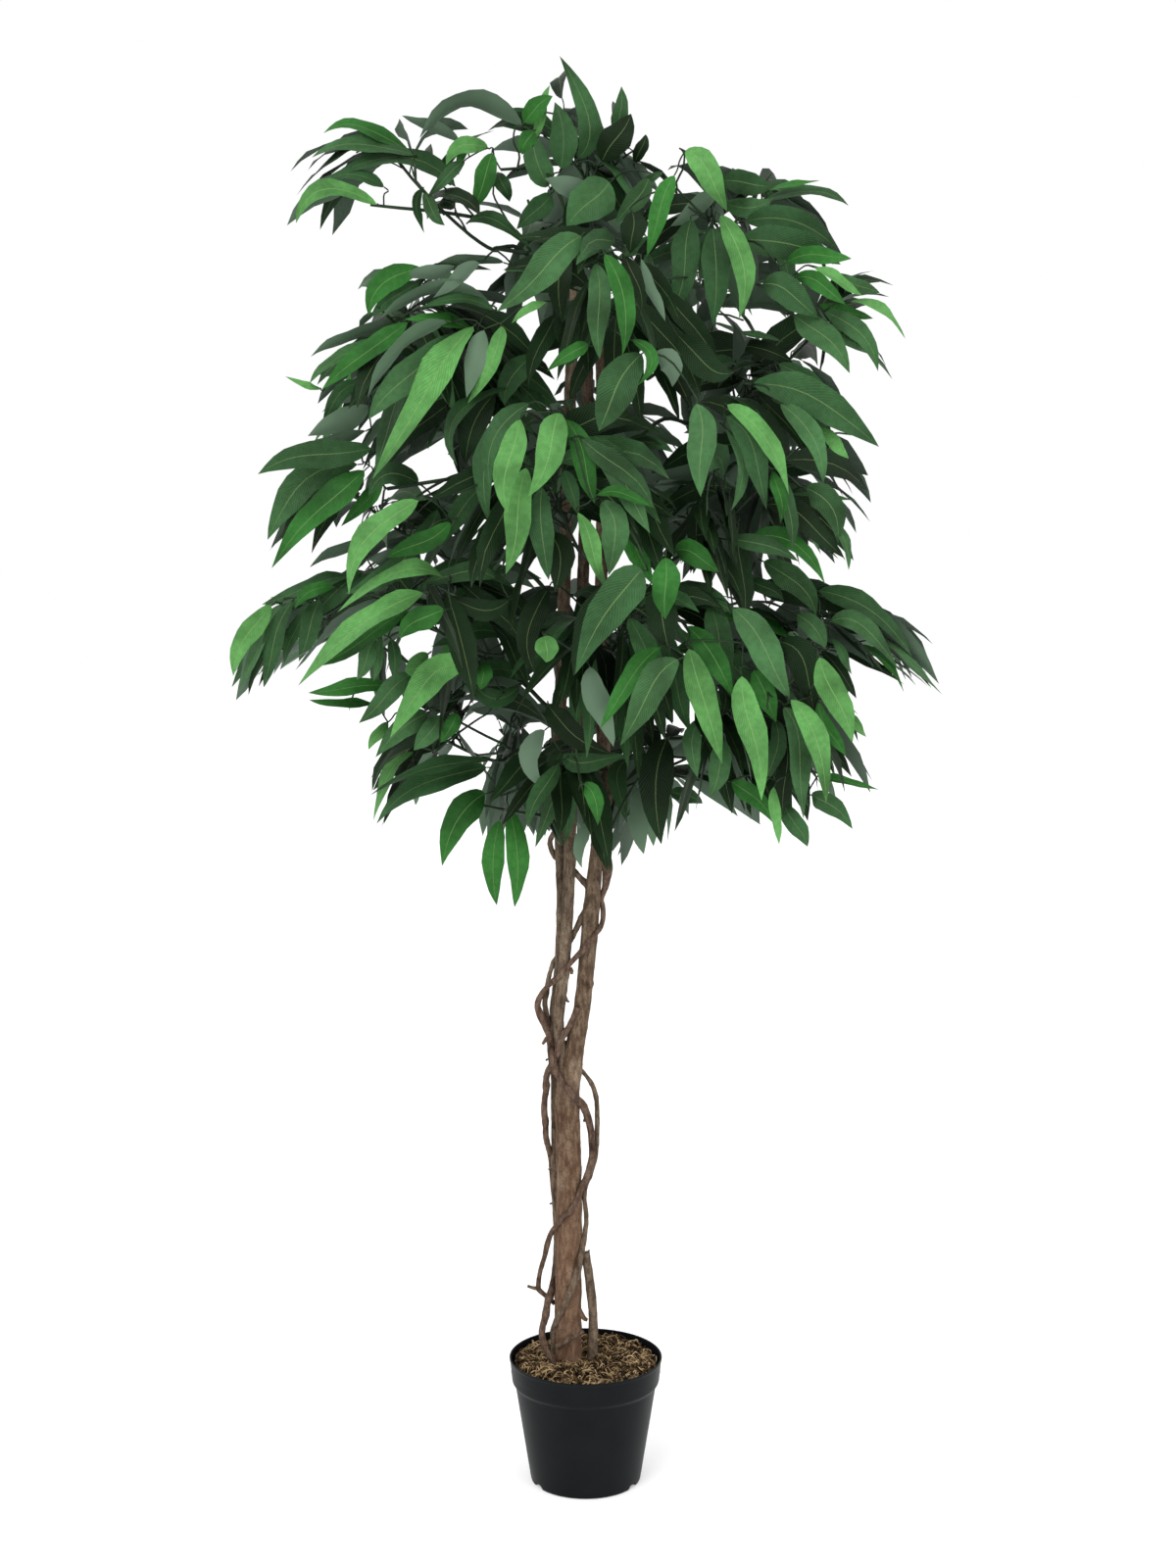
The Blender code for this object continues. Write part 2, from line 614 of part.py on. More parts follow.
def grow_mass(name, space, start, limbs, home):
    """One mass: a stem, twigs that branch from it, and leaves with their roots sunk in both."""
    leaves_wanted, fall = MASSES[name][5:7]
    stem, outward = mass_stem(space, *start)
    twigs = grow_twigs(name, space, stem, outward, round(leaves_wanted / LEAVES_A_TWIG), limbs)
    shoots = [stem] + [line for line, _ in twigs]
    parts = [twig_rings(stem, STEM_RADIUS, TWIG_RADIUS)] + [rings for _, rings in twigs]
    blades = []
    rows = math.ceil(leaves_wanted / len(shoots))
    for turn in range(leaves_wanted * 4):
        if len(blades) == leaves_wanted:
            break
        shoot = shoots[turn % len(shoots)]
        row, again = (turn // len(shoots)) % rows, turn // (len(shoots) * rows)
        rng = random.Random(f"{name} leaf {turn}")
        low = 0.55 if shoot is stem else 0.25
        root, ahead = along_line(shoot, 0.985 - (0.985 - low) * (row + 0.3 * again) / rows)
        side = ahead.orthogonal().normalized()
        for attempt in range(LEAF_TRIES):
            bearing = turn * GOLDEN_ANGLE + rng.uniform(-0.6, 0.6) + attempt * 1.3
            out = Quaternion(ahead, bearing) @ side
            along = (1.4 if row == 0 else 0.5) + 0.05 * attempt
            away = (root - space.centre).normalized()
            aim = out + ahead * along + away * 0.4 - Vector((0.0, 0.0, fall * 0.9))
            length = rng.uniform(*LEAF_LENGTH) * (1.0 - 0.012 * attempt)
            bend = fall * 0.8 + rng.uniform(0.1, 0.5)
            roll = rng.uniform(-0.9, 0.9)
            rings = leaf_rings(root, aim, length, bend, roll)
            if not all(space.holds(point) for ring in rings[1:] for point in ring):
                continue
            blade = tree_of(leaf_rings(root, aim, length, bend, roll, LEAF_BARE))
            if limbs.overlap(blade) or any(blade.overlap(other) for other in blades):
                continue
            blades.append(blade)
            parts.append(rings)
            break
    return join_parts(name, parts, home), len(blades)


def join_parts(name, parts, home):
    """Fuses a mass's stem, twigs and leaves into one body with one union on a collection."""
    loose = collection(f"{name}_loose")
    pieces = []
    for number, rings in enumerate(parts):
        bm = bmesh.new()
        skin(bm, rings)
        pieces.append(mesh_object(f"{name}_piece_{number}", bm, "leaf", loose))
    whole = pieces[0]
    loose.objects.unlink(whole)
    whole.name = f"leaves_{name}"
    home.objects.link(whole)
    union = whole.modifiers.new("Join", "BOOLEAN")
    union.operation = "UNION"
    union.operand_type = "COLLECTION"
    union.collection = loose
    union.solver = "MANIFOLD"
    graph = bpy.context.evaluated_depsgraph_get()
    mesh = bpy.data.meshes.new_from_object(whole.evaluated_get(graph))
    whole.modifiers.clear()
    keep_largest(mesh)
    whole.data = mesh
    for piece in pieces[1:]:
        bpy.data.objects.remove(piece)
    bpy.data.collections.remove(loose)
    return whole


def keep_largest(mesh):
    """Drops a loose scrap, and fills a sealed hollow by dropping its inner wall."""
    bm = bmesh.new()
    bm.from_mesh(mesh)
    bmesh.ops.remove_doubles(bm, verts=bm.verts, dist=MERGE)
    groups = []
    left = set(bm.verts)
    while left:
        group = set()
        edge = [left.pop()]
        while edge:
            vert = edge.pop()
            group.add(vert)
            for line in vert.link_edges:
                other = line.other_vert(vert)
                if other in left:
                    left.remove(other)
                    edge.append(other)
        groups.append(group)
    groups.sort(key=len)
    for group in groups[:-1]:
        bmesh.ops.delete(bm, geom=list(group), context="VERTS")
    bm.to_mesh(mesh)
    bm.free()


def limb_tree(lines):
    """A search tree over every pole, liana and bough, each grown by the leaves' clearance."""
    corners = []
    faces = []
    for points, radii in lines.values():
        more, rings = tube_faces([Vector(p) for p in points], radii, LIMB_MARGIN)
        faces += [tuple(index + len(corners) for index in face) for face in rings]
        corners += more
    return BVHTree.FromPolygons(corners, faces)


def main():
    clear_scene()
    tree = collection("artificial_mango_tree")
    tools = collection("pot_notches")
    make_pot(tree, tools)
    make_filling(tree)
    lines = make_poles(tree)
    make_lianas(tree, lines)
    spaces = {name: Space(name) for name in MASSES}
    starts = make_boughs(tree, spaces, lines)
    limbs = limb_tree(lines)
    for name, space in spaces.items():
        whole, placed = grow_mass(name, space, starts[name], limbs, tree)
        print(name, "leaves", placed, "faces", len(whole.data.polygons))


main()
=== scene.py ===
"""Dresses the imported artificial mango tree: bark, lianas, green boughs, cloth leaves, moss and pot.

Everything is in metres in the part's own frame: the origin is the centre of the pot's underside, +Z is
up, and the tree faces -Y.
"""
import math
import random

import bmesh
import bpy
from mathutils import Matrix, Quaternion, Vector, noise
from mathutils.bvhtree import BVHTree


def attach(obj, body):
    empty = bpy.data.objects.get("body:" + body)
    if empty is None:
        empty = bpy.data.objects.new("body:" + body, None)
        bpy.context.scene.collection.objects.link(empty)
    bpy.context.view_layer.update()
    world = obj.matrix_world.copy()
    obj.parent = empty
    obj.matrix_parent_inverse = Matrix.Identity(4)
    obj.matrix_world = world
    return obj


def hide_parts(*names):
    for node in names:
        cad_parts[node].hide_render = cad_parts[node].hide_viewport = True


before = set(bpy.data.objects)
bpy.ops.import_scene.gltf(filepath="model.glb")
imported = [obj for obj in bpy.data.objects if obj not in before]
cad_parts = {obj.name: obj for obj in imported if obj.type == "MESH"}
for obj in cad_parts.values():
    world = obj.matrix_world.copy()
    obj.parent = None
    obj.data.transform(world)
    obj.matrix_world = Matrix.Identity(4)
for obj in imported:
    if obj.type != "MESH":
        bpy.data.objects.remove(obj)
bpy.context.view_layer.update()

# Camera. A pixel is given in the photograph's frame of 1200 by 1600.
PHOTO_WIDTH = 1200
PHOTO_HEIGHT = 1600
FOCAL_PIXELS = 2282.4
CAMERA_PLACE = Vector((0.003, -2.8, 1.2452))
CAMERA_PITCH = 0.1187
LONG_SENSOR = 36.0
PIXELS_A_METRE = 797.0    # at the poles
UP = Vector((0.0, 0.0, 1.0))
MERGE = 1e-6

# Sizes that the part's source also uses.
GAP = 0.0004
POT_HEIGHT = 0.163
RIM_RADIUS = 0.0992
BAND_HEIGHT = 0.031
BAND_LEAN = 0.0035
BAND_STEP = 0.0045
FOOT_RADIUS = 0.0725
FOOT_CHAMFER = 0.006
WALL = 0.0022
COVER_TOP = 0.1545
COVER_DROP = 0.005
MOSS_RISE = 0.0032
MOSS_EDGE = RIM_RADIUS - BAND_LEAN - WALL - 0.0006
BOUGH_RADII = (0.0032, 0.0024)
BOUGH_POINTS = 5
BOUGH_RINGS = 22
BOUGH_SIDES = 10
BOUGH_SQUARE = 0.010
BOUGH_ARCH = 0.22
DOOR_DEPTH = 0.008
DOOR_STEP = 0.002
BOUGH_LEAST = 0.060
STEM_RADIUS = 0.0026
TWIG_RADIUS = 0.0016
TWIG_SHARE = (0.55, 0.85)
STEM_CREST = 0.42
STEM_BEYOND = 0.30
STEM_POINTS = 5
CELL_MARGIN = 0.0008
GOLDEN_ANGLE = math.radians(137.5)

# Poles: height, x, y and radius at each station.
GROUND = COVER_TOP + GAP
POLES = {
    "trunk": (
        (GROUND, -0.0235, 0.000, 0.0186), (0.172, -0.0230, 0.000, 0.0174),
        (0.270, -0.0222, 0.000, 0.0170), (0.400, -0.0212, -0.001, 0.0164),
        (0.506, -0.0240, -0.002, 0.0157), (0.551, -0.0175, -0.002, 0.0138),
        (0.583, -0.0127, -0.003, 0.0118), (0.609, -0.0063, -0.003, 0.0106),
        (0.660, -0.0004, -0.003, 0.0106), (0.740, 0.0062, -0.004, 0.0110),
        (0.800, 0.0115, -0.005, 0.0092), (0.850, 0.0168, -0.006, 0.0086),
        (0.900, 0.0262, -0.006, 0.0090), (1.056, 0.0175, -0.006, 0.0080),
        (1.333, 0.0224, -0.004, 0.0076), (1.482, 0.0175, 0.000, 0.0066),
        (1.560, 0.0100, 0.002, 0.0054)),
    "left_pole": (
        (GROUND, -0.0350, 0.0215, 0.0056), (0.297, -0.0360, 0.020, 0.0053),
        (0.333, -0.0373, 0.019, 0.0053), (0.4055, -0.0400, 0.018, 0.0054),
        (0.452, -0.0390, 0.018, 0.0055), (0.520, -0.0396, 0.017, 0.0056),
        (0.6185, -0.0410, 0.017, 0.0057), (0.651, -0.0362, 0.016, 0.0057),
        (0.686, -0.0334, 0.015, 0.0056), (0.7635, -0.0313, 0.013, 0.0056),
        (0.8195, -0.0331, 0.012, 0.0057), (0.848, -0.0335, 0.012, 0.0060),
        (0.909, -0.0385, 0.012, 0.0068), (0.939, -0.0386, 0.012, 0.0074),
        (1.009, -0.0315, 0.010, 0.0080), (1.400, -0.0190, 0.006, 0.0078),
        (1.530, -0.0130, 0.006, 0.0062)),
    "middle_pole": (
        (0.500, -0.0285, -0.001, 0.0070), (0.548, -0.0305, -0.002, 0.0076),
        (0.583, -0.0335, -0.005, 0.0072), (0.611, -0.0351, -0.007, 0.0068),
        (0.651, -0.0304, -0.009, 0.0074), (0.686, -0.0264, -0.006, 0.0076),
        (0.7635, -0.0222, -0.004, 0.0077), (0.8195, -0.0197, -0.002, 0.0079),
        (0.848, -0.0196, 0.000, 0.0079), (0.911, -0.0165, 0.004, 0.0072),
        (1.028, -0.0080, 0.014, 0.0078), (1.351, 0.0035, 0.020, 0.0074),
        (1.500, 0.0010, 0.021, 0.0064)),
    "peg": (
        (GROUND, 0.0088, -0.003, 0.0062), (0.2188, 0.0102, -0.006, 0.0060),
        (0.2816, 0.0036, -0.010, 0.0060), (0.3050, -0.0012, -0.011, 0.0058)),
}

# Lianas, as the photograph shows them: pixel across, pixel down, how deep, and width in pixels. Depth is
# in centimetres, or it is found by laying the liana on the poles from the front (f) or the back (b).
LIANAS = {
    "liana_grey": (
        (566, 1394, -0.4, 6.4), (565.4, 1384, -0.4, 6.4), (564.9, 1366, -0.2, 6.4), (564.5, 1356.5, 0, 6.4),
        (569, 1345, "f", 6.2), (574, 1335.5, "f", 6.0), (579, 1325.7, "f", 6.0), (583.8, 1313, "f", 6.4),
        (588.2, 1301.8, "f", 6.4), (591.5, 1289, "f", 6.0), (593.8, 1276.6, "f", 5.6), (596.3, 1261, 0, 5.2),
        (597.9, 1251, 0, 5.0), (598.2, 1240, 0, 5.0), (597, 1229, 0, 5.0), (596, 1218, 0.2, 5.0),
        (598.5, 1207, 0.6, 5.0), (602, 1199, 0.6, 5.0), (606, 1186, 0.4, 5.0), (608.5, 1170, 0.4, 5.0),
        (609.3, 1155, 0.6, 5.0), (609.3, 1139, 0.8, 5.0), (608.9, 1125.6, 1.0, 5.0), (606, 1111, 1.4, 4.6),
        (600.4, 1101, "b", 4.4), (592, 1090, "b", 4.2), (584, 1078, "b", 4.0), (578, 1062, "b", 4.0)),
    "liana_cut": (
        (568, 1402, -3.0, 6.6), (564.9, 1390, -3.0, 6.8), (557.9, 1379, -2.8, 6.6), (553.7, 1366, -2.2, 6.8),
        (553, 1356.5, -1.6, 7.2), (556.5, 1344, -0.8, 7.0), (558.6, 1330, 0, 7.0), (562, 1318.7, 0.5, 6.8),
        (565.2, 1304.6, 1.4, 6.6), (567, 1288, "b", 6.2), (568, 1266, "b", 6.0), (567, 1240, "b", 6.0),
        (565, 1212, "b", 6.0), (563, 1190, "b", 6.0), (561.3, 1177, 1.4, 6.0), (558.5, 1166.9, 1.0, 6.2),
        (556.8, 1155.7, 0.8, 6.4), (556.6, 1144.6, 0.6, 6.6), (555.2, 1133.4, 0.6, 6.4),
        (555.7, 1122.2, 0.6, 6.4), (557.4, 1111, 0.6, 6.6), (557.4, 1099.9, 0.6, 6.6),
        (559.8, 1092, 0.4, 6.4), (564.5, 1084, "f", 6.0), (568.5, 1074, "f", 6.2), (571.4, 1064.2, "f", 6.4),
        (575.8, 1055.2, "f", 6.4), (581.4, 1046.3, "f", 6.2), (585.9, 1036.3, "f", 6.2),
        (589.4, 1027.5, "f", 6.2)),
    "liana_outer": (
        (590, 1376, "b", 5.0), (588, 1330, "b", 5.0), (584, 1270, "b", 5.0), (580, 1200, "b", 5.0),
        (576, 1130, "b", 5.0), (568, 1082, "b", 5.4), (563.5, 1058, "b", 6.0), (559.8, 1046, 1.2, 6.0),
        (557.4, 1034, 0.9, 5.8), (555.9, 1023, 0.8, 5.2), (557.8, 1011.7, 0.9, 5.0), (559.5, 1000, 1.2, 4.8),
        (562.4, 988.5, 1.6, 4.8), (566.3, 979.6, "b", 5.0), (574, 969, "b", 5.0), (582, 960, "b", 5.4),
        (588, 948, "b", 6.0), (593, 938, "b", 6.2), (599, 925, "b", 6.2), (602, 913, "b", 6.2),
        (598.2, 902.5, "b", 6.2), (592, 896, "b", 6.0), (586, 889, "b", 5.8), (577, 881, "b", 5.6),
        (567, 874, 1.9, 5.6), (562.8, 867, 1.6, 5.6), (561.2, 859, 1.2, 5.2), (564.5, 851, 0.6, 5.0),
        (570, 843, "f", 5.0), (578, 834, "f", 4.8)),
    "liana_main": (
        (566, 1330, 1.0, 5.0), (556.5, 1321.5, 0.8, 5.0), (549.5, 1315, 0.5, 5.6), (550.2, 1303, 0.2, 4.8),
        (552.3, 1293.4, 0, 4.8), (555.8, 1282, 0, 5.2), (557.9, 1272.4, 0, 6.0), (560.7, 1262.6, 0, 5.2),
        (564.9, 1254, "f", 5.0), (571.9, 1245.7, "f", 5.2), (580.3, 1237.3, "f", 5.6),
        (587.3, 1227.5, "f", 6.0), (591.5, 1216.3, "f", 6.0), (594.8, 1208, "f", 6.5),
        (598.5, 1201, -0.8, 6.5), (602.4, 1188, -0.5, 6.8), (604.3, 1177, -0.3, 7.0), (603.8, 1161, 0, 7.2),
        (602.4, 1150, 0, 7.4), (599.3, 1139, 0, 8.0), (594.8, 1127.8, "f", 7.6), (587, 1120, "f", 7.2),
        (578, 1111, "f", 7.0), (571.4, 1101, "f", 7.0), (565.7, 1089.9, "f", 7.2), (562.9, 1077.6, "f", 7.4),
        (561.9, 1066.4, "f", 7.4), (560.2, 1056, "f", 7.2), (556.3, 1047, 0, 6.8), (551.9, 1036.5, 0, 6.2),
        (548.6, 1027.3, 0, 5.8), (549.6, 1020.6, 0, 5.6), (553, 1014, 0, 5.4), (557.5, 1008, "f", 5.2),
        (562.4, 1003, "f", 5.2), (570.2, 996.3, "f", 5.4), (578, 987.4, "f", 5.6), (587, 977.3, "f", 5.6),
        (593.7, 970.6, "f", 5.6), (600.4, 962.8, "f", 5.8), (607, 953.9, "f", 5.6), (612.7, 946, -0.6, 5.4),
        (615.3, 937, -0.4, 5.0), (614.9, 924.8, -0.2, 4.4), (613.8, 917, 0, 4.8), (617, 907, 0, 6.6),
        (619, 895.8, -0.6, 9.2), (619.8, 886.9, -0.6, 9.8), (618.3, 873.5, -0.6, 9.8),
        (615.5, 862.3, -0.6, 9.2), (613, 854.5, -0.8, 8.6), (609, 843, "f", 7.4), (604, 830, "f", 6.4),
        (598, 818, "f", 6.0)),
}
LAY_REACH = 0.050
LAY_STEP = 0.0012
LAY_SINK = 0.82           # share of a liana's radius that stays outside the bark it lies on
LAY_SPACING = 7.0         # photograph pixels

# Short side shoots, splinters and knobs: kind of bark, depth in centimetres, width and course in pixels.
SHOOTS = (
    ("grey_bark", 0.7, 4.4, ((549, 1315), (543.5, 1314), (538.2, 1312.4))),
    ("liana_red", -2.4, 5.6, ((568, 1374.5), (578.9, 1367.8), (588, 1363), (595.7, 1358.6))),
    ("liana_red", 0.0, 4.2, ((558, 1059), (555.4, 1063), (553.6, 1065.4))),
    ("grey_bark", 1.8, 3.0, ((563, 1191.4), (559.6, 1193.6))),
    ("grey_bark", 1.8, 2.6, ((564, 1227.6), (560.7, 1228.7))),
    ("grey_bark", -0.6, 3.6, ((577, 1018), (578.6, 1021), (581, 1022.4))),
    ("red_bark", -0.3, 3.2, ((591, 1080), (593.4, 1085.4), (594.8, 1086))),
    ("liana_red", -0.4, 2.4, ((604.2, 1184.6), (606.6, 1186.6))),
    ("red_bark", -0.4, 6.0, ((590, 1336), (595.4, 1344.6), (599.4, 1347))),
    ("grey_bark", -0.9, 2.6, ((599.0, 1286), (600.2, 1278), (601.4, 1275.4))),
    ("grey_bark", -0.5, 4.4, ((581.6, 988), (583.6, 991), (583.2, 994))),
    ("liana_red", 0.3, 2.2, ((557, 1082), (559.2, 1080.4))),
    ("liana_red", -0.2, 3.4, ((600.2, 1139), (596.4, 1143.2), (595.6, 1144.6))),
)

# Masses: centre, radii, pole, base height, bough or not, leaves grown by rule, fall of the leaves.
MASSES = {
    "top": ((0.000, 0.000, 1.700), (0.135, 0.140, 0.156), "trunk", 1.560, False, 24, 0.15),
    "top_left": ((-0.215, 0.020, 1.655), (0.165, 0.140, 0.115), "left_pole", 1.505, True, 16, 0.65),
    "top_right": ((0.185, -0.040, 1.600), (0.150, 0.140, 0.130), "trunk", 1.450, True, 28, 0.70),
    "right_upper": ((0.250, -0.060, 1.420), (0.150, 0.150, 0.140), "trunk", 1.310, True, 30, 0.75),
    "front_upper": ((0.040, -0.190, 1.490), (0.140, 0.150, 0.140), "trunk", 1.390, True, 28, 0.90),
    "left_upper": ((-0.200, -0.110, 1.420), (0.175, 0.150, 0.155), "left_pole", 1.310, True, 32, 0.80),
    "left_mid": ((-0.270, 0.010, 1.235), (0.155, 0.150, 0.140), "left_pole", 1.150, True, 28, 0.65),
    "front_mid": ((-0.035, -0.210, 1.250), (0.150, 0.160, 0.150), "trunk", 1.175, True, 30, 0.90),
    "right_mid": ((0.205, -0.110, 1.260), (0.150, 0.150, 0.150), "trunk", 1.150, True, 30, 0.75),
    "left_low": ((-0.300, 0.030, 1.090), (0.155, 0.150, 0.130), "left_pole", 1.010, True, 28, 0.65),
    "front_left": ((-0.195, -0.170, 1.100), (0.150, 0.150, 0.140), "left_pole", 1.070, True, 28, 0.75),
    "left_bottom": ((-0.190, -0.050, 0.955), (0.165, 0.150, 0.125), "left_pole", 0.940, True, 24, 0.75),
    "left_tail": ((-0.120, -0.030, 0.850), (0.080, 0.100, 0.100), "left_pole", 0.870, False, 2, 1.00),
    "right_low": ((0.300, 0.000, 1.085), (0.155, 0.150, 0.125), "trunk", 1.010, True, 30, 0.65),
    "front_right": ((0.215, -0.120, 0.990), (0.155, 0.155, 0.165), "trunk", 0.970, True, 30, 0.95),
    "front_low": ((0.045, -0.190, 1.070), (0.140, 0.140, 0.150), "trunk", 1.060, False, 28, 0.95),
    "under_front": ((-0.010, -0.120, 0.910), (0.110, 0.120, 0.130), "trunk", 0.930, False, 14, 1.00),
    "under_right": ((0.100, -0.010, 0.900), (0.100, 0.120, 0.110), "trunk", 0.905, False, 14, 0.95),
    "back_top": ((-0.060, 0.170, 1.600), (0.160, 0.150, 0.140), "middle_pole", 1.465, True, 30, 0.65),
    "back_right_top": ((0.150, 0.170, 1.490), (0.150, 0.150, 0.145), "trunk", 1.375, True, 32, 0.75),
    "back_left_upper": ((-0.200, 0.180, 1.385), (0.160, 0.160, 0.150), "left_pole", 1.260, True, 32, 0.75),
    "back_upper": ((0.000, 0.240, 1.320), (0.160, 0.150, 0.150), "middle_pole", 1.220, True, 32, 0.80),
    "back_right_upper": ((0.240, 0.160, 1.270), (0.155, 0.155, 0.150), "trunk", 1.200, True, 32, 0.75),
    "back_left_mid": ((-0.210, 0.200, 1.120), (0.155, 0.155, 0.145), "left_pole", 1.090, True, 32, 0.75),
    "back_mid": ((0.010, 0.260, 1.060), (0.160, 0.140, 0.150), "middle_pole", 1.030, False, 32, 0.80),
    "back_right_mid": ((0.220, 0.190, 1.040), (0.155, 0.155, 0.145), "trunk", 0.985, True, 32, 0.75),
    "back_left_low": ((-0.100, 0.150, 0.910), (0.130, 0.130, 0.125), "left_pole", 0.915, False, 22, 0.90),
    "back_right_low": ((0.110, 0.150, 0.890), (0.130, 0.130, 0.125), "trunk", 0.880, False, 22, 0.90),
}

# Leaves.
LEAF_ASPECT = 0.235       # width over length
LEAF_WIDEST = 0.42
LEAF_ACROSS = (-1.0, -0.5, 0.0, 0.5, 1.0)
GROWN_ALONG = (0.0, 0.07, 0.18, 0.34, 0.52, 0.70, 0.86, 1.0)
SEEN_ALONG = (0.0, 0.04, 0.10, 0.18, 0.28, 0.39, 0.50, 0.61, 0.72, 0.82, 0.91, 1.0)
LEAF_THICKNESS = 0.0005
LEAF_GROWN = (0.135, 0.200)
LEAF_TRIES = 24
LEAF_OUTMOST = 0.99       # shares of the way along a shoot between which leaves grow
STEM_LOWEST = 0.50
TWIG_LOWEST = 0.20
LEAF_WIDEN = 2.6          # the most by which a leaf seen edge on is wider than it looks
CROWDING = 2.2
LEAST_FALL = 0.6
LEAF_ROLL = 1.15          # radians
LEAF_SWAY = 0.028         # of the length
LEAF_CELL = 0.12
LEAF_EASE = 0.013
LEAF_FOLD = 0.30
LEAF_CUP = 0.16
EDGE_WAVE = 0.13
STALK_LENGTH = (0.010, 0.034)
STALK_RADII = (0.0011, 0.0009, 0.0008, 0.0008, 0.0009)
WIRE_RADIUS = 0.0009      # where a seen leaf's stalk meets the leaf
WIRE_POINTS = 9
WIRE_THICKEST = 0.0018
TWIGS_A_MASS = 7
TWIG_BEND = 0.22
TWIG_FAN = 56.0           # degrees
TWIG_STRAY = 18.0
TWIG_POINTS = 5
TWIG_SIDES = 7
STALK_POINTS = 5
STALK_SIDES = 5
LIMB_SIDES = 8
LIMB_MARGIN = 0.0010
CROWN_REACH = 0.36
LIGHT_FROM = 0.03         # light tints grow behind this depth
# The deep tint (K) is the darkest cloth, made near-black to paint the shade inside the crown.
TINTS = {"K": "deep", "D": "dark", "M": "mid", "F": "fresh", "B": "bright"}
TINT_SHARES = (("K", 0.30), ("D", 0.36), ("M", 0.18), ("F", 0.09), ("B", 0.07))

# Sky that shows through the crown from the front: middle and half-widths in photograph pixels.
SKY = (
    (330, 262, 62, 20), (440, 248, 70, 9), (760, 118, 92, 48), (482, 300, 22, 5), (445, 292, 18, 3),
    (497, 434, 8, 14), (440, 476, 26, 15), (340, 449, 12, 5), (790, 339, 30, 9), (886, 398, 44, 12),
    (817, 470, 8, 8), (628, 476, 6, 10), (663, 404, 8, 10), (338, 560, 30, 20), (288, 590, 20, 12),
    (350, 668, 22, 20), (430, 656, 24, 13), (385, 745, 16, 14), (490, 748, 20, 18), (458, 806, 42, 13),
    (845, 590, 28, 14), (556, 703, 9, 18), (620, 693, 8, 20), (696, 778, 8, 16), (545, 750, 11, 12),
    (905, 590, 30, 24), (300, 400, 26, 12), (560, 905, 60, 40), (668, 96, 30, 46), (498, 68, 62, 27),
    (613, 70, 12, 44), (590, 36, 62, 26), (682, 140, 22, 14), (905, 215, 38, 55), (945, 320, 34, 90),
    (930, 490, 42, 110), (950, 598, 62, 34), (990, 650, 34, 42), (925, 765, 44, 48), (735, 882, 60, 50),
    (660, 918, 42, 42), (318, 782, 60, 70), (452, 918, 44, 26), (234, 598, 36, 34), (236, 500, 38, 86),
    (274, 438, 36, 26), (308, 322, 56, 48), (470, 253, 62, 14), (428, 245, 50, 14), (536, 200, 22, 20),
    (325, 100, 70, 26), (280, 200, 14, 60), (835, 162, 56, 20), (275, 730, 30, 22), (226, 672, 14, 30),
    (261, 572, 13, 32), (302, 706, 26, 20), (767, 541, 17, 5), (682, 130, 16, 22), (905, 560, 34, 30),
    (950, 730, 50, 24), (404, 190, 16, 12), (395, 224, 34, 9), (440, 181, 8, 8), (893, 707, 28, 20),
    (945, 722, 36, 17), (978, 690, 18, 22), (300, 425, 24, 22), (866, 232, 18, 16),
)

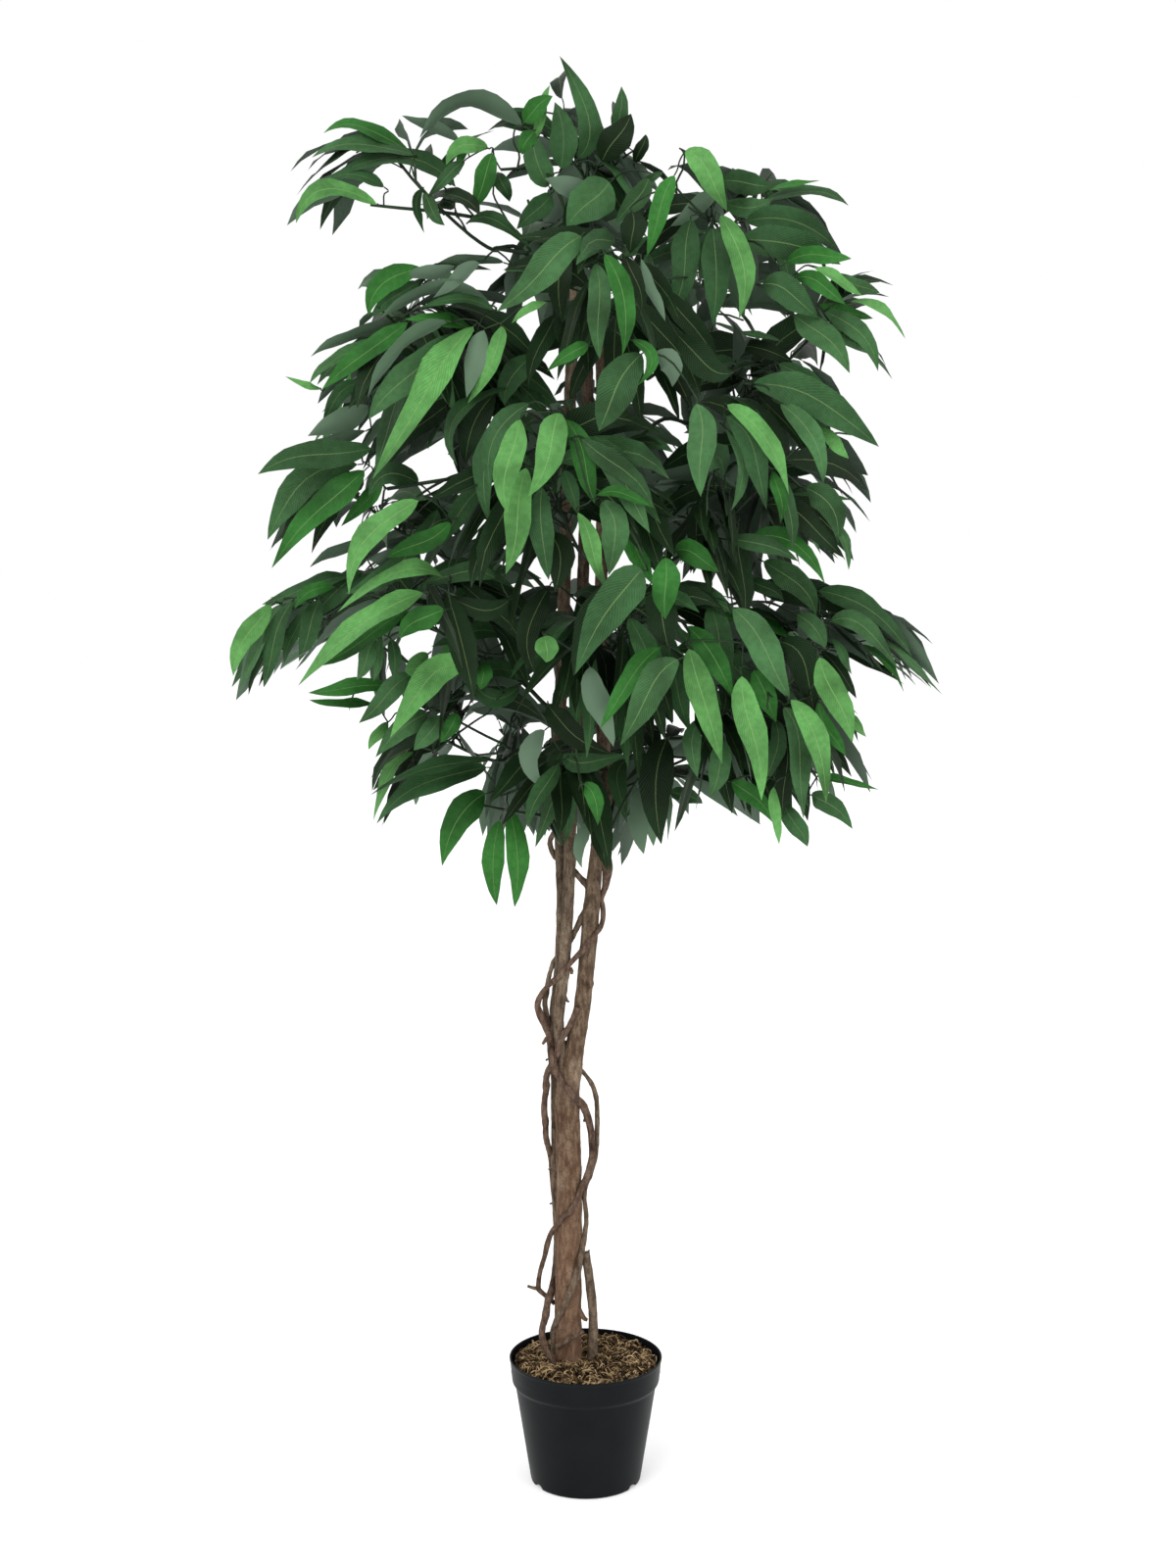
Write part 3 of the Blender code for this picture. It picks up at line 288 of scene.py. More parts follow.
# Leaves seen from the front, one row each, in photograph pixels: root, middle, tip, width across, a tint
# letter (small where the underside shows), and how far in front of its mass's middle it hangs, in cm.
SEEN_LEAVES = {
    "top_left": (
        (418, 155, 368, 129, 330, 136, 13, "F", 1), (423, 158, 366, 147, 318, 161, 15, "M", 2),
        (465, 191, 405, 160, 338, 181, 18, "D", 1), (392, 191, 362, 178, 326, 186, 12, "D", 2),
        (385, 209, 327, 194, 302, 228, 17, "B", 4), (431, 193, 425, 214, 433, 238, 9, "D", 3),
        # The row from (533, 129) is a mid leaf turned underside up, its pale grey underside standing in for
        # the grey sheen on that leaf: painted sheen.
        (433, 196, 441, 215, 454, 230, 14, "M", 4), (533, 129, 480, 102, 428, 141, 18, "m", 1),
        (469, 145, 438, 128, 410, 118, 12, "d", 0), (498, 151, 473, 148, 455, 169, 17, "B", 5),
        (478, 152, 470, 161, 468, 179, 8, "F", 4), (502, 156, 494, 184, 482, 214, 21, "F", 6),
        (508, 176, 514, 190, 520, 206, 15, "D", 4), (474, 164, 456, 180, 436, 201, 13, "D", 5),
        (562, 198, 548, 214, 527, 234, 22, "D", 3), (478, 227, 508, 226, 543, 254, 14, "D", 4)),
    "top": (
        (545, 142, 553, 112, 561, 87, 11, "B", 6), (535, 125, 547, 110, 564, 98, 20, "F", 7),
        (545, 134, 537, 144, 533, 158, 17, "F", 8), (590, 162, 600, 118, 571, 57, 23, "D", 5),
        (631, 140, 633, 115, 634, 88, 16, "D", 3), (614, 165, 630, 140, 644, 116, 30, "K", 6),
        (572, 172, 575, 140, 566, 104, 28, "M", 2), (560, 190, 548, 165, 545, 130, 26, "M", 1),
        (622, 186, 602, 206, 578, 232, 42, "M", 10), (662, 182, 648, 205, 627, 229, 20, "M", 11),
        (600, 205, 580, 190, 556, 182, 22, "d", 7), (658, 183, 668, 180, 677, 176, 8, "D", 6),
        (648, 166, 655, 150, 659, 137, 13, "K", 5)),
    "top_right": (
        (699, 154, 723, 176, 742, 216, 26, "B", 12), (735, 220, 756, 262, 754, 326, 24, "B", 14),
        (705, 224, 699, 268, 684, 321, 29, "D", 10), (727, 232, 731, 277, 727, 332, 29, "D", 12),
        (688, 179, 673, 215, 660, 262, 20, "F", 13), (645, 216, 646, 236, 643, 259, 26, "K", 10),
        (737, 184, 763, 187, 789, 190, 24, "D", 4), (740, 207, 766, 212, 788, 203, 20, "M", 6),
        (785, 195, 809, 188, 837, 184, 6, "F", 5), (777, 206, 827, 195, 866, 210, 11, "D", 4),
        (760, 226, 811, 226, 853, 253, 27, "D", 7), (756, 245, 806, 249, 858, 270, 33, "D", 9),
        (802, 268, 836, 260, 869, 264, 18, "F", 11), (733, 197, 709, 213, 684, 231, 18, "m", 3)),
    "right_upper": (
        (831, 273, 856, 285, 880, 302, 11, "B", 11), (853, 279, 877, 292, 898, 299, 14, "M", 8),
        (812, 283, 838, 290, 863, 311, 18, "F", 12), (868, 308, 899, 315, 924, 346, 9, "B", 10),
        (778, 290, 806, 299, 836, 325, 30, "D", 12), (810, 322, 840, 342, 867, 381, 27, "M", 10),
        (841, 318, 876, 338, 896, 379, 20, "M", 9), (836, 311, 866, 319, 891, 325, 12, "F", 8),
        (755, 338, 778, 343, 800, 349, 7, "D", 6), (756, 353, 784, 358, 809, 370, 17, "K", 5),
        (768, 392, 838, 410, 897, 456, 36, "D", 11), (834, 438, 852, 452, 866, 468, 14, "B", 9),
        (796, 412, 828, 444, 840, 494, 22, "M", 12), (794, 371, 822, 384, 843, 398, 16, "D", 7)),
    "front_upper": (
        (593, 241, 557, 272, 507, 318, 34, "M", 12), (608, 268, 611, 316, 612, 367, 24, "M", 11),
        (617, 259, 637, 307, 635, 363, 22, "F", 13), (638, 262, 650, 288, 654, 320, 18, "K", 9),
        (654, 264, 665, 298, 679, 328, 12, "m", 10), (600, 351, 583, 360, 558, 379, 15, "F", 10),
        (645, 347, 665, 364, 650, 394, 13, "F", 12), (666, 363, 685, 372, 686, 395, 24, "d", 9),
        (655, 361, 627, 400, 611, 440, 40, "D", 12), (711, 412, 716, 455, 715, 507, 30, "M", 13),
        (576, 250, 570, 285, 574, 330, 26, "K", 3), (690, 340, 720, 372, 748, 380, 30, "K", 4)),
    "left_upper": (
        (483, 333, 438, 394, 380, 489, 30, "B", 12), (464, 341, 414, 386, 376, 428, 32, "M", 9),
        (456, 329, 408, 354, 375, 406, 14, "m", 11), (416, 329, 369, 363, 328, 398, 21, "F", 7),
        (402, 327, 356, 344, 317, 364, 12, "m", 4), (385, 343, 342, 367, 316, 391, 11, "M", 5),
        (327, 396, 312, 393, 291, 384, 7, "B", 5), (431, 275, 391, 289, 376, 322, 24, "F", 8),
        (428, 288, 402, 303, 378, 324, 17, "D", 7), (463, 272, 437, 278, 409, 283, 15, "d", 8),
        (489, 268, 468, 282, 442, 304, 15, "d", 10), (500, 311, 440, 296, 388, 325, 14, "m", 9),
        (505, 317, 465, 305, 428, 315, 11, "D", 10), (486, 339, 449, 326, 413, 326, 14, "F", 9),
        (494, 337, 485, 367, 476, 406, 22, "m", 12), (511, 333, 503, 366, 477, 412, 18, "B", 12),
        (543, 363, 522, 385, 515, 414, 25, "D", 9), (558, 308, 538, 316, 522, 330, 9, "B", 11),
        (514, 268, 475, 266, 438, 274, 11, "m", 4), (505, 402, 482, 436, 475, 474, 28, "K", 9),
        (520, 395, 466, 424, 467, 476, 14, "D", 10)),
    "left_mid": (
        (379, 458, 320, 464, 263, 484, 29, "D", 11), (376, 414, 347, 430, 314, 445, 24, "m", 7),
        (373, 440, 341, 450, 306, 458, 13, "m", 8), (369, 391, 344, 405, 329, 434, 16, "D", 6),
        (372, 480, 326, 520, 277, 580, 28, "F", 10), (365, 474, 303, 498, 273, 551, 32, "M", 8),
        (354, 488, 336, 525, 318, 565, 16, "K", 6), (388, 482, 373, 512, 348, 537, 16, "F", 7),
        (427, 493, 399, 483, 376, 506, 24, "D", 12), (446, 520, 430, 552, 400, 570, 22, "D", 9)),
    "front_mid": (
        (531, 428, 518, 474, 518, 524, 28, "B", 12), (537, 477, 528, 530, 516, 586, 28, "B", 9),
        (570, 421, 562, 457, 539, 507, 31, "B", 11), (578, 428, 597, 472, 607, 514, 24, "F", 9),
        (576, 480, 583, 500, 590, 526, 16, "D", 6), (553, 497, 553, 545, 560, 592, 25, "D", 8),
        (590, 523, 604, 559, 619, 600, 18, "B", 12), (614, 511, 628, 545, 621, 587, 29, "M", 10),
        (609, 505, 637, 504, 667, 518, 12, "F", 12), (655, 581, 626, 615, 587, 688, 42, "D", 13),
        (540, 412, 508, 440, 500, 500, 22, "D", 7), (505, 430, 494, 480, 500, 535, 22, "D", 5),
        (560, 545, 572, 570, 566, 604, 30, "K", 4)),
    "right_mid": (
        (742, 413, 780, 446, 805, 505, 20, "B", 12), (741, 425, 770, 462, 782, 520, 26, "D", 11),
        (741, 438, 758, 476, 746, 521, 14, "M", 10), (788, 481, 796, 505, 796, 534, 14, "F", 11),
        (798, 486, 805, 520, 808, 562, 16, "D", 10), (806, 504, 842, 507, 874, 511, 5, "D", 6),
        (822, 498, 846, 514, 855, 554, 28, "D", 8), (853, 533, 862, 552, 866, 582, 10, "M", 7),
        (783, 515, 822, 530, 862, 570, 26, "K", 7), (689, 562, 710, 566, 734, 584, 25, "F", 10),
        (745, 550, 780, 556, 815, 573, 18, "D", 8), (768, 548, 806, 552, 842, 596, 20, "F", 6)),
    "left_low": (
        (277, 618, 252, 648, 238, 690, 22, "B", 12), (287, 616, 265, 657, 243, 704, 14, "M", 10),
        (298, 614, 279, 657, 269, 702, 20, "D", 11), (313, 614, 300, 646, 290, 677, 14, "D", 9),
        (326, 612, 316, 641, 305, 675, 21, "D", 10), (333, 632, 328, 646, 322, 660, 5, "D", 8),
        (362, 588, 316, 598, 267, 617, 15, "D", 8), (340, 599, 317, 603, 300, 622, 14, "F", 12),
        (370, 552, 345, 562, 316, 579, 12, "m", 6), (375, 585, 340, 606, 308, 640, 24, "D", 7)),
    "front_left": (
        (427, 511, 378, 545, 356, 607, 25, "B", 12), (460, 533, 427, 555, 394, 569, 22, "F", 8),
        (453, 590, 403, 585, 344, 625, 16, "B", 10), (432, 605, 372, 635, 304, 700, 24, "B", 12),
        (416, 622, 372, 652, 318, 680, 20, "F", 9), (453, 622, 426, 633, 408, 652, 25, "F", 11),
        (381, 654, 374, 672, 364, 694, 18, "M", 7), (389, 650, 386, 672, 381, 695, 11, "M", 5),
        (399, 652, 403, 672, 401, 695, 14, "D", 4), (420, 560, 392, 588, 352, 606, 22, "D", 6),
        (505, 590, 470, 584, 430, 596, 20, "D", 6), (520, 612, 488, 622, 455, 606, 22, "K", 5)),
    "left_bottom": (
        (398, 700, 354, 702, 314, 707, 17, "F", 10), (385, 719, 350, 718, 315, 714, 10, "F", 8),
        (421, 687, 394, 710, 366, 738, 22, "M", 12), (475, 682, 436, 694, 398, 753, 32, "B", 13),
        (437, 667, 422, 683, 409, 710, 17, "B", 11), (490, 678, 493, 690, 490, 704, 19, "F", 9),
        (436, 728, 413, 741, 383, 773, 24, "M", 8), (396, 737, 385, 750, 376, 765, 12, "B", 6),
        (449, 730, 438, 748, 422, 766, 22, "M", 9), (466, 728, 460, 742, 449, 758, 16, "F", 10),
        (501, 775, 442, 783, 377, 812, 14, "D", 9), (497, 783, 434, 799, 384, 841, 26, "D", 7),
        (422, 767, 395, 794, 381, 838, 13, "B", 4), (425, 796, 425, 808, 424, 822, 9, "m", 5),
        (515, 650, 480, 645, 440, 660, 18, "D", 6), (530, 700, 500, 712, 478, 690, 20, "D", 5)),
    "left_tail": (
        (495, 810, 470, 832, 451, 884, 31, "F", 3), (510, 837, 503, 880, 507, 924, 23, "F", 4),
        (519, 824, 528, 875, 525, 926, 23, "F", 5)),
    "front_low": (
        (679, 569, 679, 600, 679, 632, 29, "F", 12), (668, 600, 676, 632, 684, 665, 33, "K", 9),
        (692, 673, 662, 706, 633, 761, 33, "M", 12), (674, 660, 644, 692, 612, 744, 22, "F", 10),
        (602, 680, 612, 720, 626, 762, 27, "m", 6), (556, 649, 558, 662, 557, 676, 24, "B", 10),
        (560, 600, 540, 640, 548, 690, 26, "K", 2), (640, 590, 600, 640, 585, 690, 30, "K", 6)),
    "front_right": (
        (725, 616, 735, 660, 746, 712, 28, "M", 9), (703, 662, 718, 714, 737, 780, 29, "B", 14),
        (748, 621, 781, 663, 806, 714, 33, "M", 12), (701, 639, 729, 672, 748, 711, 25, "F", 12),
        (757, 690, 767, 745, 777, 817, 29, "B", 14), (768, 684, 781, 708, 792, 737, 23, "F", 10),
        (807, 714, 833, 755, 843, 819, 24, "B", 13), (800, 721, 816, 768, 820, 836, 24, "M", 11),
        (836, 671, 853, 712, 870, 758, 28, "B", 12), (790, 733, 792, 768, 780, 800, 18, "D", 9),
        (799, 744, 802, 790, 799, 832, 22, "K", 8), (790, 803, 791, 832, 795, 862, 12, "B", 11),
        (800, 820, 813, 843, 824, 864, 20, "D", 7), (828, 811, 847, 821, 870, 846, 21, "D", 9),
        (837, 790, 862, 797, 897, 806, 9, "F", 8), (835, 717, 847, 748, 863, 771, 16, "F", 9),
        (864, 727, 874, 739, 884, 752, 10, "B", 7), (796, 655, 822, 680, 831, 731, 32, "K", 8),
        (716, 733, 706, 762, 712, 794, 19, "M", 9), (738, 755, 734, 785, 724, 814, 23, "M", 8),
        (746, 797, 768, 812, 790, 841, 20, "F", 7)),
    "right_low": (
        (838, 664, 858, 686, 874, 713, 14, "K", 7), (835, 603, 884, 620, 931, 671, 22, "D", 8),
        (848, 634, 882, 640, 917, 684, 20, "M", 11), (903, 655, 931, 679, 963, 710, 8, "M", 9),
        (877, 658, 901, 673, 923, 708, 8, "F", 10), (848, 651, 860, 668, 869, 688, 10, "M", 10),
        (779, 573, 812, 594, 833, 628, 27, "M", 10), (764, 592, 783, 600, 800, 613, 16, "D", 9),
        (813, 627, 832, 642, 842, 662, 21, "M", 12), (770, 600, 830, 606, 880, 640, 30, "K", 6)),
    "under_right": (
        (681, 754, 669, 800, 675, 862, 36, "K", 9), (649, 803, 653, 838, 657, 872, 23, "m", 5),
        (683, 808, 702, 812, 717, 820, 16, "D", 4), (640, 776, 630, 800, 640, 840, 20, "D", 2)),
    "under_front": (
        (560, 720, 580, 745, 626, 770, 26, "K", 6), (596, 800, 607, 815, 610, 842, 18, "F", 8),
        (556, 745, 540, 770, 556, 806, 22, "d", 6), (600, 838, 592, 860, 594, 886, 14, "m", 3),
        (575, 770, 600, 778, 640, 770, 22, "D", 4)),
}

# Green twigs seen from the front: mass, depth, radius, then photograph pixels.
SEEN_TWIGS = (
    ("top_left", 0.000, 0.0026, ((541, 257), (520, 231), (485, 222), (447, 216), (406, 212), (378, 209))),
    ("top_left", -0.010, 0.0026, ((573, 228), (575, 213), (567, 190), (553, 173), (530, 172), (511, 173))),
    ("top_left", -0.010, 0.0014, ((528, 172), (530, 158), (524, 145), (526, 130), (533, 130))),
    ("top_left", -0.005, 0.0014, ((485, 222), (470, 205), (452, 190), (446, 180))),
    ("top_left", -0.012, 0.0012, ((452, 218), (438, 200), (424, 183), (420, 170))),
    ("top_left", -0.010, 0.0014, ((519, 228), (510, 212), (503, 196), (508, 176))),
    ("top_right", -0.120, 0.0016, ((724, 226), (705, 207), (690, 190), (697, 172), (699, 155))),
    ("left_mid", -0.120, 0.0022, ((500, 482), (487, 481), (465, 485), (444, 495), (425, 507))),
    ("left_bottom", -0.100, 0.0018, ((520, 765), (490, 748), (462, 733), (440, 722))),
    ("left_bottom", -0.105, 0.0016, ((441, 768), (462, 752), (486, 735), (498, 728))),
    ("left_tail", -0.045, 0.0024, ((573, 862), (562, 830), (556, 808), (536, 804), (512, 812))),
    ("under_right", -0.080, 0.0020, ((621, 850), (632, 828), (645, 805), (668, 774), (704, 774))),
)


# Plain tools.

def photo_point(pixel, depth):
    """The place at a depth that shows at a pixel of the photograph."""
    across = (pixel[0] - PHOTO_WIDTH / 2) / FOCAL_PIXELS
    rise = (PHOTO_HEIGHT / 2 - pixel[1]) / FOCAL_PIXELS
    level, drop = math.cos(CAMERA_PITCH), math.sin(CAMERA_PITCH)
    out = depth - CAMERA_PLACE.y
    lift = out * (rise * level - drop) / (level + rise * drop)
    away = out * level - lift * drop
    return Vector((CAMERA_PLACE.x + across * away, depth, CAMERA_PLACE.z + lift))


def pixel_of(place):
    """The pixel of the photograph at which a place shows."""
    out = place - CAMERA_PLACE
    level, drop = math.cos(CAMERA_PITCH), math.sin(CAMERA_PITCH)
    away = out.y * level - out.z * drop
    rise = out.y * drop + out.z * level
    return (PHOTO_WIDTH / 2 + FOCAL_PIXELS * out.x / away, PHOTO_HEIGHT / 2 - FOCAL_PIXELS * rise / away)


def in_sky(place):
    """Whether a place shows where the photograph has sky."""
    px, py = pixel_of(place)
    return any(((px - x) / wide) ** 2 + ((py - y) / high) ** 2 < 1.0 for x, y, wide, high in SKY)


def smooth_points(keys, count):
    """Points at even steps through key points, on a smooth curve."""
    keys = [Vector(key) for key in keys]
    ends = [2 * keys[0] - keys[1]] + keys + [2 * keys[-1] - keys[-2]]
    points = []
    for step in range(count):
        place = step / (count - 1) * (len(keys) - 1)
        index = min(int(place), len(keys) - 2)
        t = place - index
        a, b, c, d = ends[index:index + 4]
        points.append(0.5 * (2 * b + (c - a) * t + (2 * a - 5 * b + 4 * c - d) * t * t
                             + (3 * b - a - 3 * c + d) * t ** 3))
    return points


def along_line(points, share):
    """Place and heading at a share of the way along a line of points."""
    place = share * (len(points) - 1)
    index = min(int(place), len(points) - 2)
    heading = (points[index + 1] - points[index]).normalized()
    return points[index].lerp(points[index + 1], place - index), heading


def station(stations, height):
    """Centre and radius of a pole at a height, between its stations."""
    below = stations[0]
    for above in stations[1:]:
        if height <= above[0]:
            share = max(0.0, (height - below[0]) / (above[0] - below[0]))
            x, y, radius = (b + (a - b) * share for b, a in zip(below[1:], above[1:]))
            return Vector((x, y, height)), radius
        below = above
    return Vector((below[1], below[2], height)), below[3]


def add_object(name, data):
    made = bpy.data.objects.new(name, data)
    bpy.context.scene.collection.objects.link(made)
    return made


def mesh_object(name, bm, materials):
    """Turns a bmesh into an object."""
    mesh = bpy.data.meshes.new(name)
    bm.to_mesh(mesh)
    bm.free()
    for material in materials:
        mesh.materials.append(material)
    return add_object(name, mesh)


def make_piece(name, bm, materials, nodes):
    """Turns a bmesh into a finished piece that rides with the tree and stands for CAD nodes."""
    piece = mesh_object(name, bm, materials)
    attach(piece, "root")
    if nodes:
        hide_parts(*nodes)


def tube(bm, points, radii, sides, relief=None):
    """A closed tube along a line of points. relief gives what to add to the radius at a place."""
    part = bmesh.new()
    made = bmesh.ops.create_grid(part, x_segments=sides, y_segments=len(points) - 1, size=1.0)["verts"]
    side = (points[1] - points[0]).orthogonal().normalized()
    seam = {}
    for index, point in enumerate(points):
        ahead = points[min(index + 1, len(points) - 1)] - points[max(index - 1, 0)]
        ahead.normalize()
        side = (side - ahead * side.dot(ahead)).normalized()
        row = made[index * (sides + 1):(index + 1) * (sides + 1)]
        seam[row[-1]] = row[0]
        for number, vert in enumerate(row):
            out = Quaternion(ahead, math.tau * number / sides) @ side
            vert.co = point + out * radii[index]
            if relief:
                vert.co += out * relief(vert.co, radii[index])
    smooth_faces(part)
    bmesh.ops.weld_verts(part, targetmap=seam)
    bmesh.ops.edgeloop_fill(part, edges=[edge for edge in part.edges if edge.is_boundary])
    bmesh.ops.recalc_face_normals(part, faces=part.faces)
    add_part(bm, part)


def smooth_faces(bm):
    for face in bm.faces:
        face.smooth = True


def add_part(bm, part):
    """Adds a small shape to a larger one."""
    mesh = bpy.data.meshes.new("part")
    part.to_mesh(mesh)
    part.free()
    bm.from_mesh(mesh)
    bpy.data.meshes.remove(mesh)


# Materials.

class Finish:
    """A material under construction: nodes are added and linked by short calls."""

    def __init__(self, name, roughness, gloss=0.3):
        self.material = bpy.data.materials.new(name)
        self.material.use_nodes = True
        self.tree = self.material.node_tree
        self.shader = self.tree.nodes["Principled BSDF"]
        self.shader.inputs["Roughness"].default_value = roughness
        self.shader.inputs["Specular IOR Level"].default_value = gloss
        self.coordinates = self.tree.nodes.new("ShaderNodeTexCoord")

    def node(self, kind, settings=None, **inputs):
        """Adds a node. An input is named, or numbered as i0, i1 and so on."""
        made = self.tree.nodes.new(kind)
        for key, value in (settings or {}).items():
            setattr(made, key, value)
        for key, value in inputs.items():
            socket = made.inputs[int(key[1:])] if key[0] == "i" and key[1:].isdigit() else made.inputs[key]
            if isinstance(value, bpy.types.NodeSocket):
                self.tree.links.new(value, socket)
            else:
                socket.default_value = value
        return made

    def stretched(self, scale):
        """Object coordinates, scaled by three factors."""
        return self.node("ShaderNodeMapping", None, Vector=self.coordinates.outputs["Object"],
                         Scale=scale).outputs[0]

    def noise(self, scale, detail, vector=None):
        vector = vector or self.coordinates.outputs["Object"]
        return self.node("ShaderNodeTexNoise", None, Vector=vector, Scale=scale,
                         Detail=detail).outputs["Fac"]

    def ramp(self, factor, stops):
        made = self.node("ShaderNodeValToRGB", None, Fac=factor)
        ramp = made.color_ramp
        while len(ramp.elements) < len(stops):
            ramp.elements.new(0.5)
        for element, (position, colour) in zip(ramp.elements, stops):
            element.position = position
            element.color = (*colour, 1.0)
        return made.outputs["Color"]

    def mix(self, factor, first, second, way="MIX"):
        made = self.node("ShaderNodeMix", {"data_type": "RGBA", "blend_type": way},
                         i0=factor, i6=first, i7=second)
        return made.outputs[2]

    def multiply(self, first, second, factor):
        return self.mix(factor, first, second, "MULTIPLY")

    def rescale(self, value, least, most, to_least, to_most, way="LINEAR"):
        """Maps one range of values onto another."""
        return self.node("ShaderNodeMapRange", {"interpolation_type": way}, Value=value, **{
            "From Min": least, "From Max": most, "To Min": to_least, "To Max": to_most}).outputs[0]

    def maths(self, operation, *values):
        return self.node("ShaderNodeMath", {"operation": operation},
                         **{f"i{index}": value for index, value in enumerate(values)}).outputs[0]

    def colour(self, socket):
        self.tree.links.new(socket, self.shader.inputs["Base Color"])

    def bump(self, height, strength, distance):
        made = self.node("ShaderNodeBump", None, Height=height, Strength=strength, Distance=distance)
        self.tree.links.new(made.outputs[0], self.shader.inputs["Normal"])


def shade(colour, factor):
    return tuple(min(1.0, part * factor) for part in colour)


def blend(first, second, share):
    return tuple(a + (b - a) * share for a, b in zip(first, second))


LEAF_COLOURS = {
    # deep: the darkest cloth, near-black, partly painted shade inside the crown
    "deep": (0.0042, 0.0175, 0.0056),
    "dark": (0.0250, 0.0760, 0.0265),
    "mid": (0.0400, 0.1120, 0.0400),
    "fresh": (0.0290, 0.1350, 0.0240),
    "bright": (0.0940, 0.2650, 0.0720),
}
PALE_VEIN = (0.30, 0.40, 0.16)
UNDER_TONE = (0.135, 0.190, 0.140)
VEINS_A_LEAF = 26
VEIN_SLANT = 6
RIB_HALF = 0.016          # of the leaf's width
RIB_STRENGTH = 0.75
WHITE = (1.0, 1.0, 1.0)
LIGHT_TINTS = ("fresh", "bright")


def leaf_top(tint, colour):
    """Printed cloth: tone that drifts, blotches, fine slanting veins, a thin midrib and a soft sheen."""
    finish = Finish(f"leaf_{tint}_top", 0.44, 0.08)
    tone = finish.ramp(finish.noise(14.0, 2.0), (
        (0.30, shade(colour, 0.48)), (0.50, colour), (0.68, shade(colour, 1.38))))
    tone = finish.multiply(tone, finish.ramp(finish.noise(160.0, 3.0), (
        (0.36, (0.72, 0.76, 0.70)), (0.62, WHITE))), 0.75)
    parts = finish.node("ShaderNodeSeparateXYZ", None, Vector=finish.coordinates.outputs["UV"])
    from_rib = finish.maths("ABSOLUTE", finish.maths("SUBTRACT", parts.outputs[0], 0.5))
    slant = finish.maths("MULTIPLY", from_rib, VEIN_SLANT * 2)
    place = finish.maths("SUBTRACT", finish.maths("MULTIPLY", parts.outputs[1], VEINS_A_LEAF), slant)
    wander = finish.maths("MULTIPLY", finish.noise(120.0, 1.0), 0.9)
    wave = finish.maths("SINE", finish.maths("MULTIPLY", finish.maths("ADD", place, wander), math.tau))
    vein = finish.maths("POWER", finish.maths("MAXIMUM", wave, 0.0), 3.0)
    if tint in LIGHT_TINTS:
        vein_tone, strength = shade(colour, 0.42), 0.55
    else:
        vein_tone, strength = blend(colour, PALE_VEIN, 0.22), 0.34
    tone = finish.mix(finish.maths("MULTIPLY", vein, strength), tone, (*vein_tone, 1.0))
    rib = finish.rescale(from_rib, RIB_HALF * 1.6, RIB_HALF * 0.5, 0.0, RIB_STRENGTH, "SMOOTHSTEP")
    finish.colour(finish.mix(rib, tone, (*blend(colour, PALE_VEIN, 0.34), 1.0)))
    grain = finish.maths("ADD", finish.maths("MULTIPLY", wave, 0.5), finish.noise(700.0, 2.0))
    finish.bump(grain, 0.25, 0.0007)
    return finish.material


def leaf_under(tint, colour):
    """The duller, greyer back of the cloth."""
    finish = Finish(f"leaf_{tint}_under", 0.60, 0.07)
    grey = blend(colour, UNDER_TONE, 0.62)
    finish.colour(finish.ramp(finish.noise(12.0, 3.0), ((0.3, shade(grey, 0.82)), (0.7, shade(grey, 1.15)))))
    finish.bump(finish.noise(500.0, 2.0), 0.15, 0.0005)
    return finish.material


BARKS = {
    "red_bark": ((0.036, 0.023, 0.016), (0.125, 0.087, 0.058), (0.270, 0.200, 0.140), 0.38),
    "grey_bark": ((0.050, 0.034, 0.024), (0.135, 0.098, 0.067), (0.250, 0.195, 0.140), 0.0),
    "liana_red": ((0.038, 0.021, 0.015), (0.112, 0.070, 0.050), (0.200, 0.145, 0.108), 0.0),
}
FOOT_RED = (0.175, 0.082, 0.045)


def bark(name, dark, plain, pale, redness):
    """Rough bark: mottled patches, short fibres and fine cracks, redder towards the foot."""
    finish = Finish(name, 0.88, 0.10)
    fibres = finish.noise(210.0, 5.0, finish.stretched((1.0, 1.0, 0.30)))
    patches = finish.noise(42.0, 6.0, finish.stretched((1.0, 1.0, 0.70)))
    specks = finish.noise(420.0, 3.0)
    tone = finish.ramp(patches, ((0.34, dark), (0.46, plain), (0.56, plain), (0.68, pale)))
    streaks = finish.ramp(fibres, ((0.38, shade(dark, 0.45)), (0.50, plain), (0.62, pale)))
    tone = finish.mix(0.40, tone, streaks)
    dimmed = finish.ramp(specks, ((0.36, (0.62, 0.60, 0.58)), (0.60, WHITE)))
    tone = finish.multiply(tone, dimmed, 0.8)
    if redness:
        parts = finish.node("ShaderNodeSeparateXYZ", None, Vector=finish.coordinates.outputs["Object"])
        drift = finish.maths("ADD", parts.outputs[2], finish.maths("MULTIPLY", patches, 0.5))
        foot = finish.rescale(drift, 0.95, 0.50, 0.0, redness)
        tone = finish.mix(foot, tone, (*FOOT_RED, 1.0))
    cracks = finish.ramp(finish.node("ShaderNodeTexVoronoi", {"feature": "DISTANCE_TO_EDGE"}, Scale=150.0,
                                     Vector=finish.stretched((1.0, 1.0, 0.36))).outputs["Distance"],
                         ((0.00, (0.40, 0.38, 0.36)), (0.06, WHITE)))
    finish.colour(finish.multiply(tone, cracks, 0.45))
    height = finish.maths("ADD", finish.maths("ADD", fibres, finish.maths("MULTIPLY", patches, 0.8)),
                          finish.maths("MULTIPLY", specks, 0.5))
    finish.bump(height, 0.9, 0.0016)
    return finish.material


def green_plastic():
    finish = Finish("green_plastic", 0.45, 0.15)
    finish.colour(finish.ramp(finish.noise(45.0, 2.0), (
        (0.35, (0.008, 0.018, 0.008)), (0.70, (0.022, 0.046, 0.018)))))
    finish.bump(finish.noise(260.0, 2.0), 0.25, 0.0006)
    return finish.material


def dry_moss(name, dark, pale):
    finish = Finish(name, 0.95, 0.08)
    finish.colour(finish.ramp(finish.noise(90.0, 3.0), ((0.32, dark), (0.68, pale))))
    finish.bump(finish.noise(900.0, 2.0), 0.5, 0.0006)
    return finish.material


